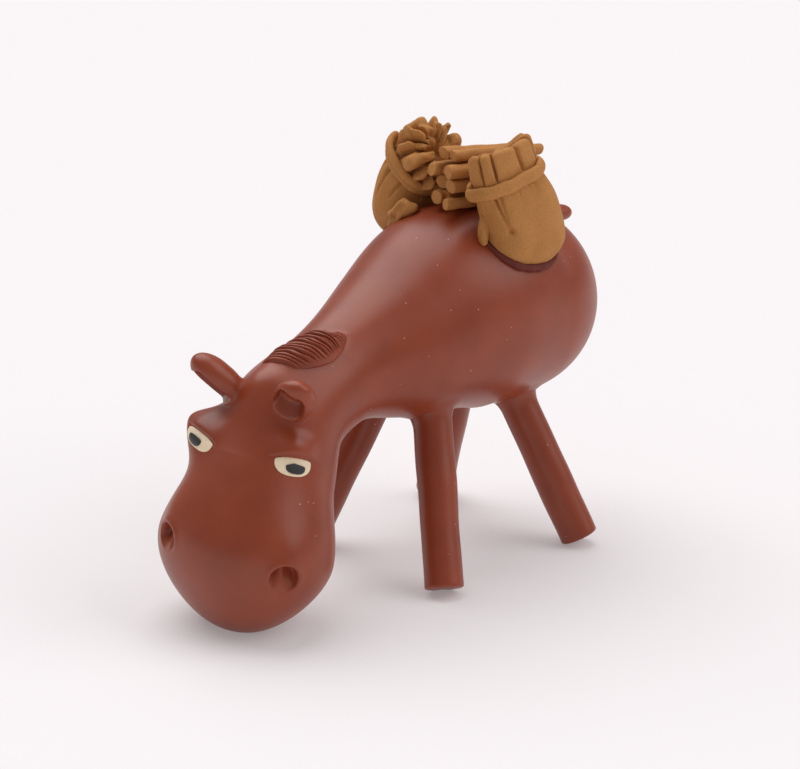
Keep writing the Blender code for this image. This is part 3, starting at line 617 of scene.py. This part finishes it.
# %% Ears
EAR_AT = {"left": (110.2, 41.5), "right": (110.9, -26.5)}
EAR_TWIST = {"left": 8.0, "right": -12.0}
EAR_ROOT, EAR_LENGTH, EAR_HALF_WIDTH, EAR_TIP = 3.0, 14.4, 5.2, 7.5
EAR_HALF_DEPTH = {"left": 3.6, "right": 4.2}
EAR_HOLLOW, EAR_RIM, EAR_LUTE = 4.4, 1.7, 1.6
EAR_HOLLOW_ASIDE = {"left": 0.9, "right": -0.3}
EAR_POKES, POKE_DEPTH, POKE_SPREAD = ((-0.2, 5.4), (1.8, 7.6)), 0.9, 0.5
EAR_LEAN = 0.06


def ear_hollow(side, x, reach):
    """Depth of the thumb press at a place across and along the ear, with two pokes in its floor."""
    width = EAR_HALF_WIDTH * ear_share(reach)
    across = ease((width - EAR_RIM * 0.5 - abs(x - EAR_HOLLOW_ASIDE[side])) / EAR_RIM)
    along = ease((reach - 0.6) / 2.5) * ease((EAR_LENGTH - 1.6 - reach) / 3.0)
    pokes = sum(math.exp(-((x - px) ** 2 + (reach - py) ** 2) / POKE_SPREAD) for px, py in EAR_POKES)
    return EAR_HOLLOW * across * along + POKE_DEPTH * pokes


def ear_share(reach):
    """Width of the ear at a distance from its root, as a share of the widest."""
    root = 0.80 + 0.20 * ease((reach + EAR_ROOT) / 8.0)
    left = max(EAR_LENGTH - reach, 0.0)
    tip = 1.0 if left > EAR_TIP else (1.0 - (1.0 - left / EAR_TIP) ** 2.0) ** 0.5
    return root * tip


def ear(side):
    """A folded leaf that stands on the skin with its hollow towards the muzzle."""
    seat = skin_seat(*EAR_AT[side]) @ Matrix.Rotation(math.radians(EAR_TWIST[side]), 4, "Z")
    rows = [-EAR_ROOT, -EAR_ROOT] + even_rows(-EAR_ROOT, EAR_LENGTH - EAR_TIP, 40)
    rows += [EAR_LENGTH - reach for reach in cap_rows(EAR_TIP, 30)[-2::-1]]

    def place(row, turn):
        reach = rows[row]
        share = ear_share(reach) if row > 0 else 0.0
        x = EAR_HALF_WIDTH * share * math.sin(turn)
        y = EAR_HALF_DEPTH[side] * share * math.cos(turn)
        if math.cos(turn) > 0.0 and row > 0:
            y -= ear_hollow(side, x, reach) * ease(math.cos(turn) / 0.35)
        return seat @ (Vector((x, y - EAR_LEAN * reach, reach)) * MM)

    made = ringed(len(rows) - 1, 120, place)
    lute(made, EAR_LUTE)
    return finish_piece(f"folded_ear_{side}", made, RED, "red_stoneware", f"ear_{side}")


for side in SIDES:
    ear(side)

# %% Mane
MANE_LINE = {"share": (0.0, 0.5, 1.0), "distance": (106.6, 99.0, 90.2), "angle": (-6.0, 16.0, 28.0)}
MANE_ROWS, MANE_SEGMENTS, MANE_LUTE = 180, 120, 1.6
MANE_HALF_WIDTH, MANE_HEIGHT, MANE_SINK = 5.6, 3.8, 2.0
MANE_FRONT, MANE_BACK, MANE_FRONT_SHARE = 0.14, 0.62, 0.62
STROKE_STEP, STROKE_DEPTH, STROKE_SLANT, LOCK_UNEVEN = 1.35, 1.5, 0.75, 0.9


def mane_crest(t):
    """Height of the crest: blunt at the front, highest behind the middle, running out at the back."""
    front = math.sqrt(1.0 - (1.0 - min(t / MANE_FRONT, 1.0)) ** 2)
    back = math.sqrt(max(0.0, 1.0 - max(0.0, (t - MANE_BACK) / (1.0 - MANE_BACK)) ** 2))
    return MANE_HEIGHT * (MANE_FRONT_SHARE + (1.0 - MANE_FRONT_SHARE) * ease(t / 0.6)) * front * back


def mane():
    """A wad along the nape with slanting knife strokes over its crest."""
    shares = MANE_LINE["share"]
    seats = [skin_seat(smooth(shares, MANE_LINE["distance"], row / MANE_ROWS),
                       smooth(shares, MANE_LINE["angle"], row / MANE_ROWS)) for row in range(MANE_ROWS + 1)]
    spots = [seat.to_translation() for seat in seats]
    length = sum((end - start).length for start, end in zip(spots, spots[1:])) / MM

    def place(row, turn):
        t = row / MANE_ROWS
        ahead = spots[min(row + 1, MANE_ROWS)] - spots[max(row - 1, 0)]
        out = seats[row].col[2].to_3d()
        across = ahead.cross(out).normalized()
        end = abs(2.0 * t - 1.0)
        share = math.sqrt(max(0.0, 1.0 - end ** 2.6)) if t < 0.5 else max(0.0, 1.0 - end ** 1.9) ** 0.75
        x = MANE_HALF_WIDTH * share * math.sin(turn)
        z = mane_crest(t) * max(math.cos(turn), 0.0) ** 1.15 if share else 0.0
        if math.cos(turn) < 0.0:
            z = MANE_SINK * math.cos(turn) * share
        phase = (t * length - STROKE_SLANT * x) / STROKE_STEP
        phase += 0.6 * noise.noise(Vector((phase * 0.45, x * 0.3, 7.0)))
        cut = math.exp(-((phase % 1.0 - 0.5) / 0.14) ** 2)
        lock = LOCK_UNEVEN * noise.noise(Vector((math.floor(phase - 0.5) * 1.7, 0.4, 3.0)))
        lower = 1.0 - 0.35 * ease((t - 0.5) / 0.4)
        shown = ease((lower - x / MANE_HALF_WIDTH) / 0.3) * ease(z / 0.9)
        z += (lock - STROKE_DEPTH * cut) * shown
        return spots[row] + across * (x * MM) + out * (z * MM)

    made = ringed(MANE_ROWS, MANE_SEGMENTS, place)
    lute(made, MANE_LUTE)
    return finish_piece("combed_mane", made, RED, "red_stoneware", "mane")


mane()

# %% Tail
TAIL_AT, TAIL_DROOP = 7.4, math.radians(54.0)
TAIL_ROOT, TAIL_LENGTH, TAIL_HALF_WIDTH, TAIL_HALF_DEPTH, TAIL_TIP = 4.0, 11.4, 3.0, 2.2, 3.6
TAIL_LUTE = 1.5


def tail():
    """A tongue of clay that stands out behind the top of the rump."""
    seat = skin_seat(TAIL_AT, 0.0) @ Matrix.Rotation(TAIL_DROOP, 4, "X")
    rows = [-TAIL_ROOT, -TAIL_ROOT] + even_rows(-TAIL_ROOT, TAIL_LENGTH - TAIL_TIP, 26)
    rows += [TAIL_LENGTH - reach for reach in cap_rows(TAIL_TIP, 14)[-2::-1]]

    def place(row, turn):
        closing = min((TAIL_LENGTH - rows[row]) / TAIL_TIP, 1.0)
        share = math.sqrt(max(0.0, 1.0 - (1.0 - closing) ** 2)) if row > 0 else 0.0
        x = TAIL_HALF_WIDTH * share * math.sin(turn)
        y = TAIL_HALF_DEPTH * share * math.cos(turn)
        return seat @ (Vector((x, y, rows[row])) * MM)

    made = ringed(len(rows) - 1, 56, place)
    lute(made, TAIL_LUTE)
    return finish_piece("tail_tongue", made, RED, "red_stoneware", "tail")


tail()

# %% [markdown]
# The eyes
#
# Each eye is a flake of cream clay with a flake of black clay on it, pressed flush into the skin under the
# lid. So an eye is a thin lens that follows the skin: every vertex is found by casting a ray at the skin.

# %% Eyes
PUPIL_OUTWARD, PUPIL_DOWN = {"left": 0.6, "right": 1.1}, {"left": 1.1, "right": 0.8}
PUPIL_HALF_WIDTH, PUPIL_ABOVE, PUPIL_BELOW = 2.6, 0.8, 1.5
WHITE_PROUD, PUPIL_PROUD, INLAY_LEVEL, INLAY_SINK, RAY_START = 0.25, 0.15, 0.12, 0.8, 12.0
skin.normal_update()
SKIN_TREE = BVHTree.FromBMesh(skin)


def inlay(node, slot, material, seat, ground, proud, outline):
    """A flake whose outline is given in mm on a seat, laid on the surface that the rays meet."""
    rows, segments = 24, 96
    out = seat.col[2].to_3d()

    def place(row, turn):
        share = math.sin(math.pi * row / rows)
        x, y = outline(turn)
        foot = Vector((x * share, y * share, 0.0))
        start = seat @ (Vector((foot.x, max(foot.y, -EYE_ABOVE + 0.1), RAY_START)) * MM)
        hit = ground.ray_cast(start, -out, 2.0 * RAY_START * MM)[0]
        level = (seat.inverted() @ hit).z / MM
        rise = proud * math.cos(math.pi * row / rows) if row * 2 < rows else 0.0
        sink = -INLAY_SINK * abs(math.cos(math.pi * row / rows)) if row * 2 > rows else 0.0
        return seat @ (Vector((foot.x, foot.y, level + INLAY_LEVEL + rise + sink)) * MM)

    made = ringed(rows, segments, place)
    tree = BVHTree.FromBMesh(made)
    finish_piece(f"inlaid_{node}", made, material, slot, node)
    return tree


def half_round(width, above, below, aside=0.0, down=0.0):
    """An outline with a nearly straight top and a round bottom."""
    def outline(turn):
        x, y = math.sin(turn), -math.cos(turn)
        x = math.copysign(abs(x) ** 0.85, x)
        y = math.copysign(abs(y) ** (0.45 if y < 0.0 else 0.9), y)
        return width * x + aside, (above if y < 0.0 else below) * y + down
    return outline


for side, sign in SIDES.items():
    seat = eye_seats[side]
    white = inlay(f"eye_white_{side}", "cream_clay", CREAM, seat, SKIN_TREE, WHITE_PROUD,
                  half_round(EYE_HALF_WIDTH[side], EYE_ABOVE, EYE_BELOW[side]))
    inlay(f"pupil_{side}", "black_clay", BLACK, seat, white, PUPIL_PROUD,
          half_round(PUPIL_HALF_WIDTH, PUPIL_ABOVE, PUPIL_BELOW, -sign * PUPIL_OUTWARD[side],
                     PUPIL_DOWN[side]))

# %% Body skin, finished
finish_piece("body_skin", skin, RED, "red_stoneware", "torso_shell", "head_shell", "eyelid_left",
             "eyelid_right")

# %% [markdown]
# The sacks
#
# Each sack is a bag of tan clay whose neck was gathered into pleats and tied with a strip. The near one
# stands on the flank and its pleats are pressed flat; the far one slumps over the firewood and its mouth
# opens like a rosette. Both are lofts from the foot to the middle of the mouth, and the pleats are
# grooves that start as creases in the bag, run under the tie and part the folds of the ruff.

# %% Sacks
SACK_LINES = {  # aside, forward, height, half length and half thickness at foot, belly, neck and mouth
    "left": ((19.4, 37.6, 76.6, 11.0, 6.8), (17.9, 37.7, 88.3, 12.1, 8.0), (16.4, 43.2, 102.0, 10.6, 5.8),
             (15.1, 45.4, 110.6, 9.9, 5.2)),
    "right": ((-17.6, 39.4, 78.4, 9.2, 6.7), (-19.2, 40.0, 89.4, 11.6, 8.2), (-15.0, 41.2, 100.5, 8.0, 8.0),
              (-8.2, 41.6, 104.7, 8.4, 8.8))}
PLEATS = {"left": (-172, -140, -108, -78, -50, -4, 45, 75, 112, 150),
          "right": (-170, -142, -119, -84, -61, -31, -8, 25, 48, 72, 103, 126, 152)}
PLEAT_DEPTH = {"left": 1.5, "right": 2.8}
PLEAT_WIDTH = {"left": 0.34, "right": 0.85}
RUFF_PUFF = {"left": 0.6, "right": 1.7}
LIP = {"left": 1.2, "right": 1.6}
MOUTH_DIP = {"left": 2.0, "right": 2.2}
MOUTH_LEAN = {"left": 2.6, "right": 0.0}
SWIRL = {"left": 0.3, "right": 0.4}
FOLD_REACH = {"left": 0.0, "right": 0.6}
ROLLS = {  # place over the mouth to the front and to the donkey's left, turn, half length, half thickness
    "left": (), "right": ((2.6, -5.8, 12, 4.8, 1.7), (4.4, -2.6, 5, 4.8, 1.7), (5.2, 0.6, -4, 4.4, 1.6),
                          (5.6, 3.8, -14, 4.6, 1.9), (-3.4, -4.6, 84, 4.6, 1.6), (-6.0, -3.4, 76, 4.2, 1.4),
                          (-7.9, -0.6, 66, 3.6, 1.4), (-3.7, 1.9, 4, 3.6, 1.6), (-1.6, 5.2, -8, 4.6, 1.8))}
FOLD_RAGGED = {"left": 0.5, "right": 1.1}
FOLD_ROUND = {"left": 1.0, "right": 1.3}
TIE_SLANT = {"left": 0.1, "right": 0.0}
CRUMPLE = {"left": 0.2, "right": 1.3}
CREASES = {  # angle under the tie, angle at the lower end, length in mm and depth in mm
    "left": ((60, 52, 9.0, 1.3), (48, 51, 7.0, 0.8), (12, 16, 5.0, 0.3), (-18, -10, 5.0, 0.4)),
    "right": ((70, 84, 7.0, 0.7), (105, 110, 8.0, 0.8), (140, 150, 7.0, 0.6), (30, 26, 6.0, 0.5))}
DENTS = {"left": ((16.4, 53, 1.0, 1.2), (6.5, 20, 3.0, 0.4)), "right": ((9.0, 100, 3.0, 0.5),)}
CURLS, CURL_DEPTH = {"left": (60, 92, 20), "right": (-46, 36, 110)}, 2.0
FOOT_CAP, SACK_SEGMENTS = 9.0, 300
ANGLE_MM = 11.0  # mm round the bag for each radian, about its half length


def sack_loft(side):
    """The line and the sections of a sack; angle 0 is towards the donkey's left, 90 to its front."""
    stations = SACK_LINES[side]
    centres = [spot(*station[:3]) for station in stations]
    return Loft(centres, [s[3] * MM for s in stations], [s[4] * MM for s in stations], (0.0, -1.0, 0.0),
                (0.0, 0.0))


def apart(angle, degrees):
    """Signed difference between an angle and one in degrees, the short way round."""
    return (angle - math.radians(degrees) + math.pi) % (2.0 * math.pi) - math.pi


def pleat(side, angle):
    """How deep in a groove an angle is and how far up the round of a fold, from 0 to 1, and which fold."""
    turn = (math.degrees(angle) + 180.0) % 360.0 - 180.0
    marks = PLEATS[side]
    fold = sum(turn > mark for mark in marks) % len(marks)
    wide = (marks[fold] - marks[fold - 1]) % 360
    gone = (turn - marks[fold - 1]) % 360.0
    deep = math.exp(-(math.radians(min(gone, wide - gone)) * 9.0 / PLEAT_WIDTH[side]) ** 2)
    return deep, math.sqrt(math.sin(math.pi * min(gone / wide, 1.0))), fold


def roll(x, y, at_x, at_y, degrees, length, thick):
    """Height of a thick fold that lies over the mouth, at a place there."""
    turn = math.radians(degrees)
    along = ((x - at_x) * math.cos(turn) + (y - at_y) * math.sin(turn)) / length
    across = ((y - at_y) * math.cos(turn) - (x - at_x) * math.sin(turn)) / thick
    return 1.3 * thick * math.sqrt(max(0.0, 1.0 - along ** 4) * max(0.0, 1.0 - across ** 2))


def wear(side, height, angle, neck):
    """Depth of the creases that run down the bag from the tie, and of its dents."""
    depth = 0.0
    for top, bottom, length, deep in CREASES[side]:
        share = (neck - 1.0 - height) / length
        if 0.0 < share < 1.0:
            away = apart(angle, top + (bottom - top) * share) * ANGLE_MM
            depth += deep * math.sqrt(1.0 - share) * math.exp(-(away / 0.55) ** 2)
    for place, degrees, radius, deep in DENTS[side]:
        away = math.hypot(height - place, apart(angle, degrees) * ANGLE_MM)
        depth += deep * math.exp(-(away / radius) ** 2)
    return depth


def squared(angle):
    """Sine and cosine of an angle, drawn out towards the corners as on a full pouch."""
    return tuple(math.copysign(abs(v) ** 0.85, v) for v in (math.sin(angle), math.cos(angle)))


def sack(side):
    """A bag with its foot closed and its mouth gathered."""
    loft = sack_loft(side)
    top = loft.length / MM
    neck = loft.marks[2] / MM
    lip = LIP[side]
    rows = [(height, math.sqrt(max(0.0, 1.0 - (1.0 - height / FOOT_CAP) ** 2)), 0.0)
            for height in cap_rows(FOOT_CAP, 20)]
    rows += [(height, 1.0, 0.0) for height in even_rows(FOOT_CAP, top - lip, 90)]
    for step in range(1, 9):
        turn = math.pi / 2.0 * step / 8.0
        rows.append((top - lip * (1.0 - math.sin(turn)), 1.0, lip * (1.0 - math.cos(turn))))
    rows += [(top - MOUTH_DIP[side] * ease(step / 24.0), 1.0 - step / 24.0, lip) for step in range(1, 25)]

    def place(row, angle):
        height, share, inset = rows[row]
        centre, along, out, width, depth = loft.section(min(height * MM, loft.length))
        deep, crown, fold = pleat(side, angle + SWIRL[side] * (1.0 - share) * (height > neck))
        ruff = ease((height - neck - 1.0) / 3.0)
        strength = 0.15 * ease((height - neck + 5.0) / 4.0) + 0.85 * ruff
        ragged = FOLD_RAGGED[side] * noise.noise(Vector((fold * 3.7, 11.0, SIDES[side]))) * ruff
        dent = PLEAT_DEPTH[side] * deep * strength + wear(side, height, angle, neck)
        puff = (RUFF_PUFF[side] + ragged) * ruff * crown
        s, c = squared(angle)
        x = (width / MM - dent - inset + puff) * s * share
        y = (depth / MM - dent - inset + puff) * c * share
        rise = TIE_SLANT[side] * x * ease((height - FOOT_CAP) / (neck - FOOT_CAP))
        folded = 1.4 * ragged + FOLD_ROUND[side] * (crown - 0.8) - 1.5 * deep * ease((inset - 0.2) / lip)
        rise += folded * ease((share - FOLD_REACH[side]) / 0.4) * ruff
        rise -= MOUTH_LEAN[side] * max(0.0, -c * share) * ruff
        if inset == lip:
            curl = sum(math.exp(-(apart(angle, degrees) * 9.0 / 0.9) ** 2) for degrees in CURLS[side])
            rise -= CURL_DEPTH * curl * math.exp(-((share - 0.84) / 0.12) ** 2)
            heaped = max((roll(x, y, *shape) for shape in ROLLS[side]), default=0.0)
            rise += heaped * ease((1.0 - share) / 0.15)
        at = centre + along * x * MM + out * y * MM
        grain = 0.3 * noise.noise(at * 160.0) + CRUMPLE[side] * ruff * noise.noise(at * 330.0)
        axis = along.cross(out)
        return centre + along * ((x + grain * s) * MM) + out * ((y + grain * c) * MM) + axis * (rise * MM)

    made = ringed(len(rows) - 1, SACK_SEGMENTS, place)
    return finish_piece(f"pleated_sack_{side}", made, TAN, "tan_clay", f"sack_{side}")


for side in SIDES:
    sack(side)

# %% Ties
TIE_TURNS = {"left": (118.0, -250.0, 0.0), "right": (170.0, -540.0, 1.5)}
TIE_HALF_WIDTH = {"left": 1.8, "right": 1.25}
TIE_HALF_DEPTH, TIE_END, TIE_POINTS = 1.05, 1.2 * MM, 60


def tie(side):
    """A strip wound round the neck of a sack, with its end left free."""
    loft = sack_loft(side)
    start, end, pitch = TIE_TURNS[side]
    centre, along, out, width, depth = loft.section(loft.marks[2])
    axis = along.cross(out)
    centres, half_widths = [], []
    for index in range(TIE_POINTS + 1):
        share = index / TIE_POINTS
        s, c = squared(math.radians(start + (end - start) * share))
        lift = 0.7 + 0.9 * (1.0 - ease(share / 0.12)) + 0.2 * noise.noise(Vector((index * 0.3, 3.0, 0.0)))
        climb = TIE_SLANT[side] * width / MM * s - pitch * (end - start) / -360.0 * (share - 0.5)
        climb -= 0.5 * noise.noise(Vector((index * 0.2, 5.0, 0.0)))
        centres.append(centre + along * (width + lift * MM) * s + out * (depth + lift * MM) * c
                       + axis * climb * MM)
        uneven = 1.0 + 0.12 * noise.noise(Vector((index * 0.4, 9.0, 0.0)))
        half_widths.append(TIE_HALF_WIDTH[side] * MM * uneven)
    strip = Loft(centres, half_widths, [TIE_HALF_DEPTH * MM] * (TIE_POINTS + 1), axis, (TIE_END, TIE_END))
    rows = cap_rows(TIE_END, 8) + even_rows(TIE_END, strip.length - TIE_END, 220)
    rows += [strip.length - reach for reach in cap_rows(TIE_END, 8)[-2::-1]]
    made = ringed(len(rows) - 1, 28, lambda row, angle: strip.place(rows[row], angle))
    return finish_piece(f"wound_tie_{side}", made, TAN, "tan_clay", f"sack_tie_{side}")


for side in SIDES:
    tie(side)

# %% [markdown]
# The firewood
#
# The sticks are thin rolls, nipped off with a knife and laid in a heap, so none is quite straight or
# quite round and every end is cut at its own slant.

# %% Sticks
STICK_SEGMENTS, STICK_ROWS, STICK_SKEW = 40, 50, 0.12
STACK_TILT = math.radians(5.5)
RUN = Vector((0.0, math.cos(STACK_TILT), -math.sin(STACK_TILT)))
LIFT = Vector((0.0, math.sin(STACK_TILT), math.cos(STACK_TILT)))


def stick(index):
    """One stick between the ends of its solid, bent and pressed a little out of round."""
    node = f"stick_{index:02d}"
    low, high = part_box(node)
    middle = (low + high) / 2.0
    radius = (high.x - low.x) / 2.0
    length = (high.y - low.y - 2.0 * radius * math.sin(STACK_TILT)) / math.cos(STACK_TILT)
    odd = [noise.noise(Vector((index * 1.9, k * 2.7, 0.5))) for k in range(8)]  # this stick's own oddities
    rows = [(0.0, 0.0), (0.0, 0.6), (0.0, 0.88), (0.004, 0.97), (0.012, 1.0)]
    rows += [(share, 1.0) for share in even_rows(0.012, 0.988, STICK_ROWS)]
    rows += [(0.996, 0.97), (1.0, 0.88), (1.0, 0.6), (1.0, 0.0)]

    def place(row, angle):
        share, size = rows[row]
        bow = math.sin(math.pi * share) * MM
        squash = 0.16 * odd[0] * math.cos(2.0 * (angle + 6.0 * odd[1]))
        lump = 0.10 * noise.noise(Vector((math.cos(angle), math.sin(angle), share * 9.0 + index * 4.0)))
        reach = radius * size * (1.0 + squash + lump)
        x, z = reach * math.sin(angle), reach * math.cos(angle)
        slant = (odd[4] * x + odd[5] * z) * (1.0 - 2.0 * share)
        along = length * (share - 0.5) + slant * 0.9
        x += odd[2] * bow * 0.9 + odd[6] * STICK_SKEW * along
        z += odd[3] * bow * 0.5 + odd[7] * STICK_SKEW * 0.5 * along
        return middle + RUN * along + LIFT * z + Vector((x, 0.0, 0.0))

    made = ringed(len(rows) - 1, STICK_SEGMENTS, place)
    return finish_piece(f"rolled_{node}", made, TAN, "tan_clay", node, crisp=math.radians(40.0))


for index in range(1, 11):
    stick(index)

# %% [markdown]
# Wads and slip
#
# A scrap of clay was pushed in at the front of each sack to stop it from slipping, and some dark slip was
# squeezed out under it and left. A scrap is a lumpy ball; the slip is a bead on the line where the sack
# comes out of the skin, which is found by going up the sack's side until it leaves the skin.


# %% Wads
WAD_PUSH = {"left": (1.4, 2.8, 1.7), "right": (3.0, 2.4, 2.2)}
WAD_HALF = {"left": (1.3, 1.5, 4.0), "right": (5.4, 3.2, 2.8)}
WAD_TILT = {"left": 0.0, "right": 42.0}
WAD_LUMP = {"left": 0.3, "right": 0.5}


def wad(side):
    """A scrap of clay in the corner between a sack and the back."""
    node = f"sack_wad_{side}"
    low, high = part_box(node)
    middle = (low + high) / 2.0 + Vector(WAD_PUSH[side]) * MM
    half = Vector(WAD_HALF[side]) * MM
    tilt = Matrix.Rotation(-math.radians(WAD_TILT[side]), 3, "Y")
    made = bmesh.new()
    bmesh.ops.create_icosphere(made, subdivisions=5, radius=1.0)
    for vert in made.verts:
        lump = 1.0 + WAD_LUMP[side] * noise.noise(vert.co * 1.3 + middle * 300.0)
        lump += 0.05 * noise.noise(vert.co * 4.0)
        vert.co = middle + tilt @ Vector(v * h * lump for v, h in zip(vert.co, half))
    return finish_piece(f"pushed_{node}", made, TAN, "tan_clay", node)


for side in SIDES:
    wad(side)

# %% Slip
SLIP_SPAN = {"left": (-84.0, 130.0), "right": (88.0, 268.0)}
SLIP_RADIUS, SLIP_SPREAD, SLIP_POINTS, SLIP_RUBS = 1.05, 0.6, 48, 4
SLIP_END = 1.0 * MM


def seam(loft, angle):
    """Where a sack comes out of the skin, going up its side at an angle."""
    s, c = squared(angle)
    height = 0.0
    while height < FOOT_CAP * 2.0:
        share = math.sqrt(max(0.0, 1.0 - max(0.0, 1.0 - height / FOOT_CAP) ** 2))
        centre, along, out, width, depth = loft.section(height * MM)
        place = centre + along * (width * share * s) + out * (depth * share * c)
        near, normal, _, _ = SKIN_TREE.find_nearest(place)
        if (place - near).dot(normal) > 0.0:
            return place + (along * s + out * c) * (SLIP_SPREAD * MM)
        height += 0.25
    return place


def slip(side):
    """A bead of slip that follows the seam of a sack's foot, thick here and thin there."""
    loft = sack_loft(side)
    start, end = SLIP_SPAN[side]
    turns = [start + (end - start) * index / SLIP_POINTS for index in range(SLIP_POINTS + 1)]
    centres = [seam(loft, math.radians(turn)) for turn in turns]
    for _ in range(SLIP_RUBS):
        middles = [(a + b * 2.0 + c) / 4.0 for a, b, c in zip(centres, centres[1:], centres[2:])]
        centres = [centres[0]] + middles + [centres[-1]]
    sizes = []
    for index in range(SLIP_POINTS + 1):
        taper = 0.35 + 0.65 * math.sin(math.pi * index / SLIP_POINTS) ** 0.6
        uneven = 1.0 + 0.4 * noise.noise(Vector((index * 0.2, 2.0, SIDES[side])))
        sizes.append(SLIP_RADIUS * MM * taper * uneven)
    bead = Loft(centres, sizes, sizes, (SIDES[side], 0.0, 0.6), (SLIP_END, SLIP_END))
    rows = cap_rows(SLIP_END, 8) + even_rows(SLIP_END, bead.length - SLIP_END, 160)
    rows += [bead.length - reach for reach in cap_rows(SLIP_END, 8)[-2::-1]]
    made = ringed(len(rows) - 1, 20, lambda row, angle: bead.place(rows[row], angle))
    return finish_piece(f"squeezed_slip_{side}", made, SLIP, "dark_slip", f"slip_bead_{side}")


for side in SIDES:
    slip(side)
